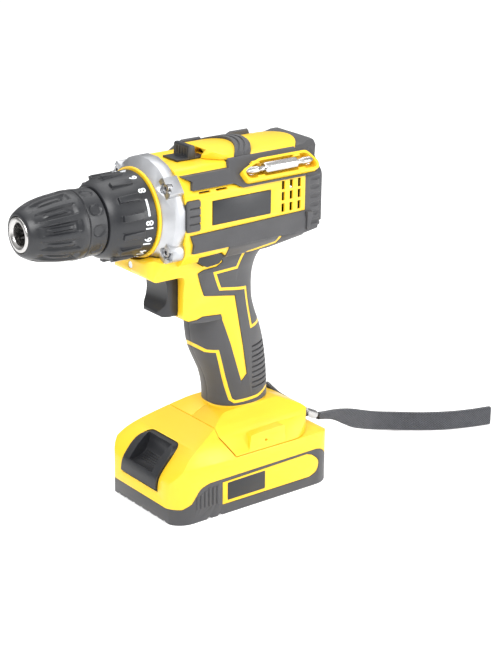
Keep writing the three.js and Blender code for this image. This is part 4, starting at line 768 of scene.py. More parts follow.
LOWER_SPAR = on_axis([(-46.5, -9.6), (-44.5, -15), (-45.5, -20), (BARREL_REAR, -20), (BARREL_REAR, -8)])
FRONT_PAD = rounded(on_axis([(-49.4, -7), (-49.4, 11), (-40, 11), (-40, -7)]), 1.5, 4)
NAME_PANEL = on_axis([(-31, -5.5), (-31, 8.5), (10.8, 8.5), (10.8, -5.5)])
BUTTON_HEX = on_axis([(-37.5, -25), (-22, -24.3), (-17.5, -28), (-21, -32), (-30, -32.8), (-36, -29)])
TRAY_FRONT, TRAY_LENGTH = -9.8, 56.0


def through(outline, amount=0.0):
    return prism(inset(outline, amount), "Y")


def layer(side, outward, inward):
    """Skin of one half of the body, from an amount outside its surface to one inside it."""
    span = (-FAR, -GAP / 2) if side < 0 else (GAP / 2, FAR)
    reach = everywhere(0, FAR, -FAR, BARREL_REAR - GAP / 2)
    return meet(cut(body(-outward), body(inward)), block(-FAR, FAR, *span, 0, FAR), reach)


def deck_room():
    return block(-FAR, FAR, -DECK_HALF_WIDTH, DECK_HALF_WIDTH, AXIS_Z + DECK - 4, FAR)


# ---------------------------------------------------------------- housing
CASE_FACE = -62.0
CASE_RADIUS = 32.2
BOSSES = [(y, AXIS_Z + z) for y in (-24.4, 24.4) for z in (-18.7, 18.7)]
POCKET_HALF = BARREL_HALF_WIDTH - 1.2
VENT_HEIGHTS = (9.8, 3.2, -3.8)
VENT_WIDTH, VENT_HALF_HEIGHT = 2.4, 2.6
OUTSIDES = ((-FAR, -20), (20, FAR))
TRIGGER_HALF = 11


def housing_cavity():
    """Solids that hollow the housing out."""
    inner = WALL + RUBBER + GAP
    mouth = lathe([
        (-80, 0.2), (-80, 27), (CASE_FACE, 27), (-56.8, 32), (-54.8, 32.5), (-49.7, 32.5), (-49.7, 0.2),
    ], 96)
    bosses = [rod((-80, y, z), (BARREL_FRONT, y, z), 6.5) for y, z in BOSSES]
    bore = barrel(inner, BARREL_FRONT - 1, BARREL_REAR + 1)
    vent_pocket = block(16, 36, -POCKET_HALF, POCKET_HALF, AXIS_Z - 7.6, AXIS_Z + 13)
    slit_pocket = block(-43, -17, -28.8, 28.8, AXIS_Z + 12, AXIS_Z + 16)
    hollow = meet(prism(inset(NECK_SECTION, inner), "X"), prism(NECK_HOLLOW, "Y"))
    terminals = block(-0.3, 22.3, -12.3, 12.3, 41, 52.3)
    return [bore, terminals, hollow, handle(inner, 48, 24), mouth, vent_pocket, slit_pocket, *bosses]


def housing_openings():
    """Solids that open the shells for the controls, the cord, the lens and the air."""
    room = TRIGGER_HALF + SLIDE_GAP
    button = through(BUTTON_HEX, -SLIDE_GAP)
    trigger = block(-60, -22, -room, room, AXIS_Z - 64.45, AXIS_Z - 38.15)
    slot = block(-31.05, -18.2, -2.95, 2.95, AXIS_Z + 19, AXIS_Z + 32)
    cord = rod(CORD_HOLE_FROM, CORD_HOLE_TO, CORD_RADIUS + SLIDE_GAP)
    lens = rod((-67.5, 0, AXIS_Z - 30.6), (-62.6, 0, AXIS_Z - 30.6), 2.3)
    vents = []
    for x in (19, 25, 31):
        for height in VENT_HEIGHTS:
            z = AXIS_Z + height
            for span in OUTSIDES:
                vents.append(block(x, x + VENT_WIDTH, *span, z - VENT_HALF_HEIGHT, z + VENT_HALF_HEIGHT))
    slits = [
        block(x0, x1, *span, AXIS_Z + 13.8, AXIS_Z + 15)
        for x0, x1 in ((-40, -32), (-28, -20)) for span in OUTSIDES
    ]
    pin_holes = [rod((8, y0, 39.5), (8, y1, 39.5), 0.9) for y0, y1 in ((-36, -31), (31, 36))]
    return [button, trigger, slot, cord, lens, *vents, *slits, *pin_holes]


def stripes():
    """Lines of the shell that stand between the grip's zones, flush with them."""
    made = []
    reach = STRIPE / 2 - STRIPE_GAP
    for zone in (WEB_ZONE, LOWER_ZONE):
        line = meet(cut(through(zone, -reach), through(zone, reach)), through(GRIP_ZONE, GAP))
        made.append(meet(line, cut(body(-PROUD + 0.1), body(RUBBER + WALL / 2))))
    return made


def make_housing():
    whole = cut(union(body(0), foot()), *housing_cavity())
    zones = [through(zone, -GAP) for zone in (GRIP_ZONE, UPPER_SPAR, LOWER_SPAR, FRONT_PAD)]
    recesses = [cut(zone, body(RUBBER + GAP)) for zone in zones]
    panel = cut(through(NAME_PANEL, -GAP), body(PANEL_DEPTH + GAP))
    whole = cut(union(cut(whole, *recesses, panel), *stripes()), *housing_openings())
    for name, span in (("housing_left", (-FAR, -GAP / 2)), ("housing_right", (GAP / 2, FAR))):
        half = meet(twin(whole), block(-FAR, FAR, *span, 0, FAR))
        finished(half, name, "shell", "yellow_plastic", bevel=0.35)
    drop(whole)


def make_grips():
    half = STRIPE / 2
    for side, suffix in LEFT_RIGHT:
        skin = meet(layer(side, PROUD, RUBBER), through(GRIP_ZONE))
        web = meet(twin(skin), through(WEB_ZONE, half))
        lower = meet(twin(skin), through(LOWER_ZONE, half))
        grooves = [everywhere(67 + 3.3 * i, 68.3 + 3.3 * i, 10, 60) for i in range(9)]
        main = cut(skin, through(WEB_ZONE, -half), through(LOWER_ZONE, -half))
        main = cut(main, cut(union(*grooves), body(0.75)))
        for zone, part in ((web, "web"), (main, "main"), (lower, "lower")):
            finished(zone, f"grip_{part}_{suffix}", "rubber", "grip_rubber", bevel=0.35)


def side_ridges():
    """Raised ridges of the right spar, along the edge of the top cover."""
    section = on_axis([(20.1, 23.5), (20.1, 30.6), (21.3, 31.4), (23.4, 28.6), (25.6, 23.5)])
    made = []
    for start, end in ((-20, 1), (15.5, BARREL_REAR - GAP / 2)):
        sloped = through(on_axis([(start - 4, 23), (start + 5, 31.6), (end - 3, 31.6), (end, 23)]))
        made.append(cut(meet(prism(section, "X", start - 4, end), sloped), body(0.4)))
    return made


def make_mouldings():
    """Spars, front pads and name panels, left and right."""
    spar_section = both_sides([(31.9, AXIS_Z - 7.5), (33.2, AXIS_Z - 12.8), (33.2, AXIS_Z - 20.5)])
    for side, suffix in LEFT_RIGHT:
        upper = cut(meet(layer(side, SPAR_PROUD, RUBBER), through(UPPER_SPAR)), deck_room())
        if side < 0:
            upper = cut(upper, tray_prism(-GAP, -3 - GAP, 6))
        else:
            upper = union(upper, *side_ridges())
        lower = meet(layer(side, SPAR_PROUD, RUBBER), through(LOWER_SPAR), prism(spar_section, "X"))
        for spar, node in ((upper, f"upper_spar_{suffix}"), (lower, f"lower_spar_{suffix}")):
            finished(spar, node, "moulding", "grip_rubber", bevel=0.6, segments=3)
        pad = meet(layer(side, PAD_PROUD, RUBBER), through(FRONT_PAD))
        grooves = [everywhere(AXIS_Z + z, AXIS_Z + z + 1.1, -47.6, -39) for z in (-3.2, 1.4, 6)]
        pad = cut(pad, cut(union(*grooves), body(0.2)))
        finished(pad, f"front_pad_{suffix}", "ribbed", "grip_rubber", bevel=0.3)
        panel = meet(layer(side, PROUD, PANEL_DEPTH), through(NAME_PANEL))
        finished(panel, f"name_panel_{suffix}", "blank", "dark_plastic", bevel=0.25)


# ---------------------------------------------------------------- bit tray and bit
TRAY_TILT = math.atan2(BARREL_HALF_WIDTH - DECK_HALF_WIDTH, DECK - SHOULDER)
TRAY_PLACE = Vector((0, -(BARREL_HALF_WIDTH + DECK_HALF_WIDTH) / 2 - 2.6, AXIS_Z + (SHOULDER + DECK) / 2))
TRAY_OUTLINE = [(0.4, 0.8), (2.4, -6.5), (54.2, -6.5), (56, -2), (50.6, 6.5), (15, 6.5)]


def on_shoulder(obj):
    """Moves a solid from the tray's frame (along, up the slope, out of it) to its place."""
    turn = Matrix.Rotation(-TRAY_TILT, 4, "X")
    frame_turn = Matrix(((1, 0, 0, 0), (0, 0, -1, 0), (0, 1, 0, 0), (0, 0, 0, 1)))
    obj.data.transform(Matrix.Translation(TRAY_PLACE) @ turn @ frame_turn)
    return obj


def tray_prism(amount, low, high):
    outline = rounded(inset([(u + TRAY_FRONT, v) for u, v in TRAY_OUTLINE], amount), 2.2)
    return on_shoulder(prism(outline, "Z", low, high))


def make_tray():
    shell = cut(tray_prism(0, -3, 3), tray_prism(1.5, -1.4, 7))
    clips = []
    for start in (10, TRAY_LENGTH - 16):
        for low, high in ((-5.6, -3.7), (3.7, 5.6)):
            x = TRAY_FRONT + start
            clips.append(on_shoulder(block(x, x + 5, low, high, -1.6, 2.6)))
    finished(union(shell, *clips), "bit_tray", "moulding", "yellow_plastic", bevel=0.35)


def make_bit():
    """Double-ended cross-head bit with a hexagon in the middle."""
    low, high = cad("screwdriver_bit")
    hexagon = lathe([(13, 0.2), (13, 3.4), (37, 3.4), (37, 0.2)], 6, y=0, z=0)
    chamfer = lathe([
        (11, 0.2), (11, 1.9), (12.8, 2.6), (14, 3.4), (36, 3.4), (37.2, 2.6), (39, 1.9), (39, 0.2),
    ], 48, z=0)
    middle = meet(hexagon, chamfer)
    necks = lathe([
        (0.4, 0.1), (0.4, 0.7), (3.4, 2.35), (8.2, 2.35), (9.6, 1.8), (13.4, 1.8), (14, 3), (36, 3),
        (36.6, 1.8), (40.4, 1.8), (41.8, 2.35), (46.6, 2.35), (49.6, 0.7), (49.6, 0.1),
    ], 40, z=0)
    flutes = []
    for k in range(4):
        angle = math.pi / 4 + k * math.pi / 2
        c, s = math.cos(angle), math.sin(angle)
        for end, root in ((-1, 8), (51, 42)):
            flutes.append(rod((end, 1.75 * s, 1.75 * c), (root, 3.1 * s, 3.1 * c), 1.25, 16))
    bit = cut(union(middle, necks), *flutes)
    bit.data.transform(Matrix.Translation((low.x, (low.y + high.y) / 2, (low.z + high.z) / 2)))
    finished(bit, "screwdriver_bit", "steel", "bright_steel", bevel=0.12, segments=1)


# ---------------------------------------------------------------- top of the barrel
CROWN = smooth_line([(1, 0.23), (0.92, 0.47), (0.7, 0.74), (0.4, 0.92), (0.14, 1), (0, 1.005)], 4)[:-1]
COVER_FRONT, COVER_HALF, COVER_TOP, COVER_REAR_TOP, COVER_REAR = -22, 19.7, 33, 30.6, 47.5
COVER_NOSE = smooth_line([(-20, 11.5), (-15.5, 16.5), (-11, COVER_HALF)])
BAND_FRONT, RIB_PITCH, BAND_RIBS, BAND_TOP = 2.6, 3.8, 3, 34.4
BAND_REAR = BAND_FRONT + RIB_PITCH * BAND_RIBS
RIB_SHARE = 0.62
SWEEP = 0.025
KNOB_ROOM = 7.45


def arch(half, height, foot_at=DECK + GAP):
    crest = [(out * half, foot_at + up * (height - foot_at)) for out, up in CROWN]
    return on_axis(both_sides([(half, foot_at), *crest]))


def strip(front, rear):
    across = [-21 + 1.5 * k for k in range(29)]
    edge = [(front - SWEEP * y * y, y) for y in across]
    back = [(rear - SWEEP * y * y, y) for y in reversed(across)]
    return prism(edge + back, "Z", AXIS_Z + DECK - 1, FAR)


def crown(half, height, rear):
    return prism(arch(half, height), "X", COVER_FRONT - 1, rear)


def make_top():
    """Yellow cover in front of and behind the ribbed rubber band."""
    brow = smooth_line([(-19, 31), (-15, 32.7), (-10, 33.2)])
    slope = prism(on_axis([(COVER_FRONT, 27.3), (-21.4, 29), *brow, (60, 34), (60, 27.3)]), "Y")
    far_nose = [(x, -y) for x, y in reversed(COVER_NOSE)]
    plan = prism([
        (COVER_FRONT, -8), (COVER_FRONT, 8), *COVER_NOSE, (FAR, COVER_HALF), (FAR, -COVER_HALF), *far_nose,
    ], "Z", 0, FAR)
    front = meet(crown(COVER_HALF, COVER_TOP, 20), slope, plan, strip(-100, BAND_FRONT - GAP))
    rear = meet(crown(COVER_HALF, COVER_REAR_TOP, COVER_REAR), strip(BAND_REAR + GAP, COVER_REAR))
    core = meet(crown(16, COVER_REAR_TOP - 1, BAND_REAR + 3), strip(BAND_FRONT - 4, BAND_REAR + 3))
    knob_room = block(-FAR, -17.95, -KNOB_ROOM, KNOB_ROOM, AXIS_Z + 26, FAR)
    plate_room = block(-FAR, -11.55, -KNOB_ROOM, KNOB_ROOM, AXIS_Z + 26, AXIS_Z + 28.8)
    tunnel = rod((-40, 0, AXIS_Z + 23.8), (-11.5, 0, AXIS_Z + 23.8), 7.5, 64)
    cover = cut(union(front, rear, core), knob_room, plate_room, tunnel)
    finished(cover, "top_cover", "moulding", "yellow_plastic", bevel=0.45)
    under = cut(crown(16.3, COVER_REAR_TOP - 0.7, FAR), everywhere(0, AXIS_Z + 22))
    band = meet(crown(COVER_HALF, BAND_TOP - 1.1, FAR), strip(BAND_FRONT, BAND_REAR))
    ribs = []
    for i in range(BAND_RIBS):
        at = BAND_FRONT + i * RIB_PITCH
        ribs.append(meet(crown(COVER_HALF, BAND_TOP, FAR), strip(at, at + RIB_PITCH * RIB_SHARE)))
    whole = cut(union(band, *ribs), under)
    finished(whole, "top_band", "ribbed", "grip_rubber", bevel=0.5, segments=3)


CAP_LENGTH = 16.6
STEPS = ((0.3, 0.62), (1.4, 0.76), (3.0, 0.9))


def cap_ridge(front, rear):
    """The part of the cap that rises behind the top cover."""
    side = prism(rounded(on_axis([
        (front, 23), (front, 28.2), (rear - 8, 28.6), (rear - 1.5, 31), (rear + 0.4, 29.6),
        (rear - 0.6, 18), (front + 6, 18),
    ]), 0.8, 3), "Y", -DECK_HALF_WIDTH, DECK_HALF_WIDTH)
    section = on_axis(both_sides([(20, 10), (20, 27), (17.5, 30), (12, 31.4), (0, 31.8)]))
    return meet(side, prism(section, "X", 0, FAR))


def make_rear_cap():
    """Hollow rear cap with stepped edges, the ends of the spars, side scallops and vents."""
    front = BARREL_REAR + GAP
    rear = BARREL_REAR + CAP_LENGTH
    steps = [barrel(amount, front, front + CAP_LENGTH * share) for amount, share in STEPS]
    shell = union(*steps, barrel(5, front, rear))
    upper_end = meet(barrel(-SPAR_PROUD, front, rear), through(on_axis([
        (front, 13.5), (front + 7.5, 13.9), (front + 11.5, 18.5), (front + 8, 23.6), (front, 23.6),
    ])))
    lower_end = meet(barrel(-2.6, front, rear), through(on_axis([
        (front, -8.5), (front + 4.6, -9.4), (front + 1.2, -19.8), (front, -19.8),
    ])))
    scallops = [
        rod((front + 4, side * 32.4, AXIS_Z + z), (rear + 2, side * 30, AXIS_Z + z), 1.7, 20)
        for side in (-1, 1) for z in (10.5, 5.2, -0.1, -5.4, -10.7, -16)
    ]
    hollow = barrel(WALL + 5, front - 1, rear - WALL)
    vents = []
    for z in VENT_HEIGHTS:
        vents.append(block(rear - 2 * WALL, FAR, -12, 12, AXIS_Z + z - 1.5, AXIS_Z + z + 1.5))
    room = cut(strip(0, COVER_REAR + GAP), everywhere(0, AXIS_Z + DECK))
    whole = union(cut(shell, *scallops), cap_ridge(front, rear), upper_end, lower_end)
    whole = cut(whole, hollow, tray_prism(-GAP, -3 - GAP, 6), room, *vents)
    finished(whole, "rear_cap", "moulding", "grip_rubber", bevel=0.5, segments=3)


# ---------------------------------------------------------------- gear case, collar and chuck
CASE_FACETS = 20


def make_gear_case():
    """Cast case with facets round it, four screw bosses and channels that open the bosses outwards."""
    stretch = 1 / math.cos(math.pi / CASE_FACETS)
    outer = lathe([
        (CASE_FACE, 15), (CASE_FACE, 26.2), (CASE_FACE + 5, 31.4 * stretch), (CASE_FACE + 7.5, CASE_RADIUS),
        (-50, CASE_RADIUS), (-50, 15),
    ], CASE_FACETS, turn=math.pi / CASE_FACETS)
    core = lathe([
        (-91, 8.2), (-91, 14), (-61, 14), (-61, 22), (-24, 22), (-24, 19.7), (-59, 19.7), (-59, 8.2),
    ], 96)
    hollow = lathe([(-59, 0.2), (-59, 19.7), (-45, 19.7), (-45, 0.2)], 96)
    outline = prism(inset(BARREL_SECTION, -1), "X", CASE_FACE, BARREL_FRONT)
    bosses = [meet(rod((CASE_FACE + 2.5, y, z), (-50, y, z), 6.2, 48), twin(outline)) for y, z in BOSSES]
    drop(outline)
    flats = block(-FAR, FAR, -BARREL_HALF_WIDTH, BARREL_HALF_WIDTH, 0, FAR)
    holes = [rod((-90, y, z), (-55.5, y, z), 3.2, 32) for y, z in BOSSES]
    shafts = [rod((-90, y, z), (-50.9, y, z), 1.9, 20) for y, z in BOSSES]
    channels = []
    for y, z in BOSSES:
        out, up = (10 if y > 0 else -10), (1 if z > AXIS_Z else -1)
        open_to = [(y, z), (y + out, z - up * 2.6), (y + out, z + up * 6), (y + out * 0.15, z + up * 3)]
        channels.append(prism(open_to, "X", -90, -57.6))
    case = union(cut(meet(union(outer, *bosses), flats), hollow), core)
    case = cut(case, *holes, *shafts, *channels)
    finished(case, "gear_case", "casting", "alloy", bevel=0.3, angle=24, facets=40)


def bright_line(angle, half_turn):
    """A raised tick on the collar, run round it."""
    points = []
    steps = 10
    for i in range(steps + 1):
        a = angle + half_turn * (2 * i / steps - 1)
        for x, lift in ((-69.9, -0.1), (-69.9, 0.16), (-68.7, 0.16), (-68.7, -0.1)):
            r = collar_radius(x) + lift
            points.append((x, r * math.sin(a), AXIS_Z + r * math.cos(a)))
    return skinned("tick", points, 4)


COLLAR = [(-92.6, 20.1), (-90.3, 21.7), (-88.1, 22.6), (-84.6, 23.5), (-72.6, 24.3), (-64.2, 25.2)]


def collar_radius(x):
    for (x0, r0), (x1, r1) in zip(COLLAR, COLLAR[1:]):
        if x <= x1:
            return r0 + (r1 - r0) * (x - x0) / (x1 - x0)
    return COLLAR[-1][1]


NUMERAL_SIZE = 6.3
NUMERAL_BASE = -67.4


def numeral(text, angle):
    """Digits wrapped on the collar, their tops towards the nose."""
    curve = bpy.data.curves.new("digits", "FONT")
    curve.body = text
    curve.size = NUMERAL_SIZE
    curve.offset = 0.1
    curve.align_x = "CENTER"
    curve.extrude = 0.13
    curve.resolution_u = 3
    holder = bpy.data.objects.new("digits", curve)
    scene.collection.objects.link(holder)
    mesh = applied(holder)
    bpy.data.objects.remove(holder)
    bpy.data.curves.remove(curve)
    for vertex in mesh.vertices:
        across, up, lift = vertex.co
        x = NUMERAL_BASE - up
        r = collar_radius(x) + lift + 0.06
        a = angle + across / 25
        vertex.co = (x, r * math.sin(a), AXIS_Z + r * math.cos(a))
    return placed("digits", mesh)


NUMERALS = ["2", "4", "6", "8", None, "18", "16", "14", "12", "10"]
NUMERAL_STEP = math.radians(24)
TICK_ANGLE = math.radians(-68)
COLLAR_BARS = 14


def make_collar():
    """Torque collar with its grip bars and rim scallops, its numerals, and the yellow ring."""
    sleeve = lathe([
        (-92.6, 17.5), *COLLAR[:-1], (-65, 25.1), (-64.2, 24.5), (-64.2, 14.45), (-88, 14.45), (-88, 17.5),
    ], 112)
    bars, rim = [], []
    for i in range(COLLAR_BARS):
        bar = prism([(-86, -1.8), (-72.2, -2.2), (-72.2, 2.2), (-86, 1.8)], "Z", 21.5, 25.2)
        turn = Matrix.Rotation(2 * math.pi * i / COLLAR_BARS, 4, "X")
        bar.data.transform(Matrix.Translation((0, 0, AXIS_Z)) @ turn)
        bars.append(bar)
        a = 2 * math.pi * (i + 0.5) / COLLAR_BARS
        s, c = math.sin(a), math.cos(a)
        rim.append(rod((-93, 22.9 * s, AXIS_Z + 22.9 * c), (-88.6, 24.3 * s, AXIS_Z + 24.3 * c), 1.25, 16))
    collar = cut(union(sleeve, *bars), *rim)
    finished(collar, "torque_collar", "ribbed", "dark_plastic", bevel=0.4, segments=3)
    marks = []
    for k, text in enumerate(NUMERALS):
        angle = TICK_ANGLE + (NUMERALS.index(None) - k) * NUMERAL_STEP
        marks.append(bright_line(angle, 0.2) if text is None else numeral(text, angle))
    with bpy.context.temp_override(active_object=marks[0], selected_editable_objects=marks):
        bpy.ops.object.join()
    finished(marks[0], "torque_collar", "numerals", "lens", bevel=0, body="torque_collar")
    ring = lathe([
        (-63.9, 14.3), (-63.9, 26), (-63.5, 26.4), (-62.6, 26.4), (-62.3, 26.1), (-62.3, 14.3),
    ], 112)
    finished(ring, "collar_ring", "yellow", "yellow_plastic", bevel=0)


SLEEVE = smooth_line([
    (-139.4, 10.9), (-138.6, 12.5), (-135.2, 14.6), (-132, 16), (-128, 17.3), (-121.6, 18.6),
    (-114, 19.4), (-108, 19.8), (-105.2, 19.5),
], 8)
LOBES = 12
DIMPLES = 10
JAWS = 3
JAW_TILT = math.radians(15)
JAW_ROOM = 2.9


def soft_step(value, low, high):
    t = min(1, max(0, (value - low) / (high - low)))
    return t * t * (3 - 2 * t)


def sleeve_wave(x, angle, radius):
    """Long hollows between the sleeve's ribs, each with a raised tongue in it."""
    if radius < 12.4 or x > -107:
        return radius
    phase = (angle * LOBES / (2 * math.pi)) % 1
    centred = abs(phase - 0.5) * 2
    along = soft_step(x, -136.5, -129) * (1 - soft_step(x, -112.5, -109.5))
    hollow = 1 - soft_step(centred, 0.5, 0.72)
    tongue = (1 - soft_step(centred, 0.14, 0.3)) * soft_step(x, -131, -127) * (1 - soft_step(x, -117, -113))
    return radius - 1.5 * along * hollow + 1.0 * tongue


def ring_wave(x, angle, radius):
    """Oval dimples round the rear ring."""
    if radius < 18:
        return radius
    phase = ((angle * DIMPLES / (2 * math.pi)) % 1 - 0.5) * 2
    reach = math.hypot(phase / 0.62, (x + 99.4) / 4.2)
    return radius - 0.9 * (1 - soft_step(reach, 0.75, 1.0))


def make_chuck():
    core = lathe([
        (-140, 8.2), (-140, 9.2), (-139.6, 9.9), (-138.8, 10.3), (-132, 12), (-118, 15.6), (-93.5, 15.6),
        (-93.5, 5.3), (-102.2, 5.3), (-102.2, 6.6), (-138.6, 6.6), (-139.4, 7.2),
    ], 96)
    holes = []
    for i in range(JAWS):
        spin = Matrix.Rotation(2 * math.pi * i / JAWS, 3, "X")
        way = Vector((math.cos(JAW_TILT), 0, math.sin(JAW_TILT)))
        tip = Vector((-138, 0, 2.132))
        start, end = (spin @ (tip + way * t) + Vector((0, 0, AXIS_Z)) for t in (-4, 37))
        holes.append(rod(start, end, JAW_ROOM, 32))
    finished(cut(core, *holes), "chuck_body", "steel", "bright_steel", bevel=0.2)
    sleeve = lathe([*SLEEVE, (-105.2, 16.2), (-120, 16.2), (-134, 12.1), (-139.4, 10.55)], 288, sleeve_wave)
    finished(sleeve, "chuck_sleeve", "ribbed", "dark_plastic", bevel=0)
    rows = [(-104.75 + 11.4 * t / 24, 19.7 - 0.4 * t / 24) for t in range(1, 24)]
    ring = lathe([(-104.75, 16.2), (-104.75, 19.2), *rows, (-93.3, 18.9), (-93.3, 16.2)], 240, ring_wave)
    finished(ring, "chuck_rear_ring", "dimpled", "dark_plastic", bevel=0)


# ---------------------------------------------------------------- controls
KNOB_HALF = 7


def make_speed_knob():
    top = AXIS_Z + DECK + GAP
    crest = smooth_line([(-29.9, AXIS_Z + 35.4), (-28.4, AXIS_Z + 35.6), (-26.6, AXIS_Z + 35.2)], 3)
    outline = [(-30.8, top), (-30.5, AXIS_Z + 34.6), *crest, (-25.8, AXIS_Z + 34), (-25.4, top)]
    knob = prism(outline, "Y", -KNOB_HALF, KNOB_HALF)
    dents = [block(-40, -30.3, y, y + 1.2, AXIS_Z + 29.4, AXIS_Z + 34) for y in (-5, -2.4, 0.2, 2.8)]
    plate = block(-38.5, -19, -KNOB_HALF, KNOB_HALF, top, top + 1)
    stem = block(-30.6, -25.6, -2.5, 2.5, top - 3.6, top + 0.9)
    whole = cut(union(knob, plate, stem), *dents)
    finished(whole, "speed_knob", "moulding", "dark_plastic", bevel=0.45, segments=3)


def make_direction_button():
    """A bar through the neck, dished at both ends and cut away over the trigger switch."""
    reach = NECK_TOP_HALF_WIDTH + PROUD
    room = block(-FAR, FAR, -14.5, 14.5, 0, AXIS_Z - 29.4)
    dishes = []
    for side in (-1, 1):
        outside = (-28, side * (reach + 10.5), AXIS_Z - 28.6)
        dishes.append(rod(outside, (-28, side * (reach + 2), AXIS_Z - 28.6), 12, 48, 1))
    button = cut(prism(rounded(BUTTON_HEX, 1.2, 4), "Y", -reach, reach), room, *dishes)
    finished(button, "direction_button", "moulding", "dark_plastic", bevel=0.7, segments=3)


def make_trigger():
    face = smooth_line(on_axis([(-50, -39), (-48.4, -44), (-47.8, -50), (-49, -55.5), (-52.6, -60.2)]))
    hook = on_axis([(-53, -62), (-51, -63.3), (-46.4, -63.6)])
    outline = [*face, *hook, *on_axis([(-31, -63.6), (-31, -39)])]
    plan = prism(rounded_plan(-53.2, -31, TRIGGER_HALF, 7, 0.5), "Z", 0, FAR)
    trigger = meet(prism(outline, "Y", -TRIGGER_HALF, TRIGGER_HALF), plan)
    finished(trigger, "trigger", "moulding", "dark_plastic", bevel=1.2, segments=4, angle=40)


# ---------------------------------------------------------------- battery
LOWER = [
    (-FAR, -FAR), (-FAR, 9), (-54.7, 10), (-48.7, 13),
    *smooth_line([(-45.5, 17), (-42, 21), (-35.7, 23)], 4), (46.7, 24),
    *smooth_line([(50, 23), (53.5, 20.5), (55.7, 18)], 4), (FAR, 17), (FAR, -FAR),
]
SIDE_PANEL = [
    (-26, 6.5), (-26, 21), (39, 22.4),
    *smooth_line([(43, 21), (47, 17.6), (48.5, 14), (46.5, 9), (41, 6.5)], 4),
]
LABEL = [(-22.5, 8.6), (-22.5, 20), (6, 20.4), (6, 8.6)]
PRESS = Vector((0.79, -0.613))
SLOPE_TOP, SLOPE_BOTTOM = Vector((-41.8, 44)), Vector((-61.6, 18.6))
DOWN_SLOPE = (SLOPE_BOTTOM - SLOPE_TOP).normalized()
BUTTON_HALF = 18.2
BUTTON_LOW, BUTTON_HIGH, BUTTON_CORNER = 2.0, 42.4, 7.5
BUTTON_PROUD = 10
BUTTON_DEPTH, WELL_DEPTH = 7, 11.45


def button_outline(inward, widen):
    """Side view of the release button, or widened, of the well that it moves in."""
    corners = (
        (SLOPE_TOP, -widen, -BUTTON_PROUD), (SLOPE_BOTTOM, widen, -BUTTON_PROUD),
        (SLOPE_BOTTOM, widen, inward), (SLOPE_TOP, -widen, inward),
    )
    return [tuple(point + DOWN_SLOPE * run + PRESS * depth) for point, run, depth in corners]


def button_front(amount):
    """Front view of the release button, its upper corners round."""
    half, low, high = BUTTON_HALF + amount, BUTTON_LOW - amount, BUTTON_HIGH + amount
    outline = rounded([(-half, low), (half, low), (half, high), (-half, high)], BUTTON_CORNER, 8)
    return prism(outline, "X", -FAR, 0)


def make_battery_shells():
    space = cut(through(foot_region(-GAP / 2)), everywhere(-1, BATTERY_TOP - GAP / 2))
    shell = union(cut(base(0), space), meet(rail(0, FOOT_FRONT + 3, 38), base(0)))
    slots = [block(3, 39, y - 0.95, y + 0.95, 35, FAR) for y in (-8, 0, 8)]
    inner = meet(base(2.2), everywhere(2.2, 31))
    reach = BUTTON_HALF + SLIDE_GAP
    well = meet(prism(button_outline(WELL_DEPTH, SLIDE_GAP), "Y", -reach, reach), button_front(SLIDE_GAP))
    whole = cut(shell, inner, well, *slots)
    lower = cut(meet(twin(whole), through(LOWER)), cut(through(SIDE_PANEL, -GAP), base(1.5)))
    ribs = []
    for k in range(6):
        x = -45.5 + 3 * k
        for low, high in ((-37.1, -35), (35, 37.1)):
            ribs.append(block(x, x + 1.6, low, high, 8.5, 16 + min(k, 3) * 1.4))
    notches = [rod((-64, y, -0.4), (-52, y, -0.4), 1.7, 20) for y in range(-24, 25, 8)]
    for x in (-36, -28):
        for side in (-1, 1):
            notches.append(rod((x, side * 34.4, -0.4), (x, side * 38, -0.4), 1.7, 20))
    lower = cut(union(lower, *ribs), *notches)
    finished(lower, "battery_bottom_shell", "moulding", "grip_rubber", bevel=0.5)
    upper = cut(whole, through(LOWER, -GAP))
    finished(upper, "battery_top_shell", "moulding", "yellow_plastic", bevel=0.45)


def make_battery_panels():
    """Yellow side panels, each with a blank label."""
    for side, suffix in LEFT_RIGHT:
        span = (-FAR, 0) if side < 0 else (0, FAR)
        skin = cut(meet(through(SIDE_PANEL), base(0)), base(1.2))
        plate = meet(skin, block(-FAR, FAR, *span, 0, FAR))
        finished(plate, f"battery_panel_{suffix}", "plate", "yellow_plastic", bevel=0.3)
        span = sorted((side * (HALF_BATTERY + 0.15), side * (HALF_BATTERY - 0.4)))
        label = prism(rounded(LABEL, 0.8, 3), "Y", *span)
        finished(label, f"battery_label_{suffix}", "blank", "dark_plastic", bevel=0.06, body="battery")


def make_release_button():
    """Release button with a scooped finger rest and fine ribs in it."""
    outline = prism(button_outline(BUTTON_DEPTH, 0), "Y", -BUTTON_HALF, BUTTON_HALF)
    press = eased(meet(outline, base(-1.5), button_front(0)), 1.3, 4, 50)
    centre = SLOPE_TOP + DOWN_SLOPE * 13 - PRESS * 9.6
    scoop = rod((centre.x, -12, centre.y), (centre.x, 12, centre.y), 12, 72)
    ribs = []
    for k in range(5):
        turn = 0.1 + 0.13 * k
        at = centre + (PRESS * math.cos(turn) + DOWN_SLOPE * math.sin(turn)) * 12.1
        ribs.append(rod((at.x, -9.5, at.y), (at.x, 9.5, at.y), 0.55, 16))
    button = union(cut(press, scoop), *ribs)
    finished(button, "release_button", "moulding", "dark_plastic", bevel=0.5, segments=3,
             angle=35)


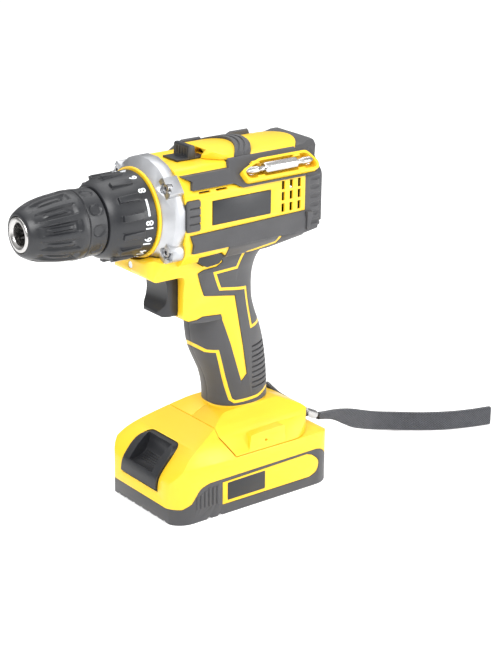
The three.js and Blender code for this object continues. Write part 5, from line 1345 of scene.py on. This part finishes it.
# ---------------------------------------------------------------- wrist strap
STRAP_START = HALF_LENGTH + 1.3
FERRULE_FROM = Vector((STRAP_START, -5, BATTERY_TOP + 1.5))
FERRULE_TO = Vector((STRAP_START + 13, -2, BATTERY_TOP - 6))
ON_FLOOR = 6.6
WEBBING_HALF = 6.2
WEBBING_PATH = [
    (STRAP_START + 14, -1.8, BATTERY_TOP - 6.7), (STRAP_START + 30, 0, 23.5),
    (STRAP_START + 52, 1.5, 14.6),
    (STRAP_START + 68, 1, 9.6), (STRAP_START + 82, -3, ON_FLOOR + 0.6), (STRAP_START + 97, -13, ON_FLOOR),
    (STRAP_START + 112, -22, ON_FLOOR), (STRAP_START + 127, -28, ON_FLOOR),
    (STRAP_START + 141, -32, ON_FLOOR),
]


def in_hole(share):
    return tuple(Vector(CORD_HOLE_FROM).lerp(Vector(CORD_HOLE_TO), share))


CORD_PATH = [
    (STRAP_START - 1.2, -6.8, FERRULE_FROM.z + 0.8),
    in_hole(0.02), in_hole(0.3), in_hole(0.55), in_hole(0.8), in_hole(0.92),
    (FOOT_REAR - 7.8, 10.5, FOOT_TOP - 3.8), (FOOT_REAR - 3, 13, FOOT_TOP - 8),
    (FOOT_REAR + 2.5, 11.5, FOOT_TOP - 13.6), (FOOT_REAR + 7, 6, FOOT_TOP - 17.4),
    (STRAP_START - 1.4, -2.2, FERRULE_FROM.z + 1.6),
]
FERRULE = [
    (-3.4, 0.05), (-3.4, 1.9), (-3, 2.3), (-2, 2.5), (0.6, 2.5), (1, 2.3), (1.6, 2.3), (2, 2.6), (11, 3),
    (12.4, 2.9), (12.9, 2.4), (12.9, 0.05),
]


def spaced_curve(points, steps):
    """Centripetal curve through the points, which keeps its bends close to them."""
    points = [Vector(p) for p in points]
    points = [2 * points[0] - points[1], *points, 2 * points[-1] - points[-2]]
    result = []
    for a, b, c, d in zip(points, points[1:], points[2:], points[3:]):
        spans = [max((q - p).length, 1e-4) ** 0.5 for p, q in ((a, b), (b, c), (c, d))]
        slope_in = ((b - a) / spans[0] - (c - a) / (spans[0] + spans[1]) + (c - b) / spans[1]) * spans[1]
        slope_out = ((c - b) / spans[1] - (d - b) / (spans[1] + spans[2]) + (d - c) / spans[2]) * spans[1]
        for s in range(steps):
            t = s / steps
            result.append((2 * t**3 - 3 * t**2 + 1) * b + (t**3 - 2 * t**2 + t) * slope_in
                          + (3 * t**2 - 2 * t**3) * c + (t**3 - t**2) * slope_out)
    return [*result, points[-2]]


def along_path(points, count):
    fine = spaced_curve(points, 40)
    reach = [0.0]
    for a, b in zip(fine, fine[1:]):
        reach.append(reach[-1] + (b - a).length)
    result, k = [], 0
    for i in range(count):
        goal = reach[-1] * i / (count - 1)
        while k < len(reach) - 2 and reach[k + 1] < goal:
            k += 1
        part = (goal - reach[k]) / max(reach[k + 1] - reach[k], 1e-9)
        result.append(fine[k].lerp(fine[k + 1], part))
    return result, reach[-1]


def tube(points, radius, sides):
    """Round tube along points, its ends closed."""
    verts = []
    across = None
    last = len(points) - 1
    for i, here in enumerate(points):
        way = (points[min(i + 1, last)] - points[max(i - 1, 0)]).normalized()
        if across is None:
            across = way.orthogonal().normalized()
        else:
            across = (across - way * across.dot(way)).normalized()
        up = way.cross(across)
        for k in range(sides):
            angle = 2 * math.pi * k / sides
            verts.append(here + radius * (math.cos(angle) * across + math.sin(angle) * up))
    return skinned("tube", verts, sides)


def metres(points, every):
    """Every so many of the points, and the last one, in metres."""
    return [tuple(p * MM) for p in points[::every]] + [tuple(points[-1] * MM)]


def make_strap():
    """Thin cord through the foot, both its ends in the ferrule, and the webbing after it."""
    points, cord_length = along_path(CORD_PATH, 90)
    cord = finished(tube(points, CORD_RADIUS, 14), "strap_cord", "braided", "webbing", bevel=0)
    ferrule = lathe(FERRULE, 40, z=0)
    way = (FERRULE_TO - FERRULE_FROM).normalized()
    turn = Vector((1, 0, 0)).rotation_difference(way).to_matrix().to_4x4()
    ferrule.data.transform(Matrix.Translation(FERRULE_FROM) @ turn)
    ferrule = finished(ferrule, "strap_ferrule", "steel", "bright_steel", bevel=0)
    path = metres(points, 3)
    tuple(path[0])
    make_webbing()


def webbing_mesh(points):
    """Flat band on edge along points. It starts narrow and thick, where it is gathered."""
    rows = 14
    verts, section = [], []
    for k in range(rows + 1):
        v = -WEBBING_HALF + 2 * WEBBING_HALF * k / rows
        section.append((v, 1 - 0.35 * soft_step(abs(v), WEBBING_HALF - 1.2, WEBBING_HALF)))
    last = len(points) - 1
    for i, here in enumerate(points):
        way = (points[min(i + 1, last)] - points[max(i - 1, 0)]).normalized()
        side = way.cross(Vector((0, 0, 1))).normalized()
        up = side.cross(way).normalized()
        narrow = 0.36 + 0.64 * soft_step(i, 2, 34)
        thick = 1.6 + 0.5 * (1 - soft_step(i, 0, 14)) + 0.12 * math.sin(i * 0.23)
        verts += [here + up * v * narrow + side * thick * edge for v, edge in section]
        verts += [here + up * v * narrow - side * thick * edge for v, edge in reversed(section)]
    return skinned("band", verts, 2 * (rows + 1))


def make_webbing():
    """Two layers of webbing folded over at the far end, drawn as one closed band round the fold."""
    points, length = along_path(WEBBING_PATH, 120)
    band = webbing_mesh(points)
    band = finished(band, "strap_webbing", "woven", "webbing", bevel=0, facets=50)
    path = metres(points, 4)
    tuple(path[0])


# ---------------------------------------------------------------- CAD nodes that are shown as they are
KEPT = {
    "steel": [
        "case_screw_1", "case_screw_2", "case_screw_3", "case_screw_4", "ring_gear", "planet_gear_1",
        "planet_gear_2", "planet_gear_3", "output_spindle", "clutch_spring", "motor_can", "trigger_spring",
        "chuck_jaw_1", "chuck_jaw_2", "chuck_jaw_3",
    ],
    "copper": ["motor_rotor", "spindle_bearing"],
    "dark_plastic": ["motor_fan", "switch_body", "terminal_block"],
    "cell_wrap": ["cell_pack"],
    "lens": ["light_lens"],
}


def dress_kept_nodes():
    """Gives each of them its material."""
    for finish, nodes in KEPT.items():
        for node in nodes:
            obj = frame["nodes"][node]
            for slot in obj.material_slots:
                slot.material = FINISHES[finish]
            if not obj.material_slots:
                obj.data.materials.append(FINISHES[finish])


# ---------------------------------------------------------------- assembly
make_camera()
FINISHES = make_finishes()
make_studio()
make_strap()
make_housing()
make_grips()
make_mouldings()
make_tray()
make_bit()
make_top()
make_rear_cap()
make_gear_case()
make_collar()
make_chuck()
make_speed_knob()
make_direction_button()
make_trigger()
make_battery_shells()
make_battery_panels()
make_release_button()
dress_kept_nodes()
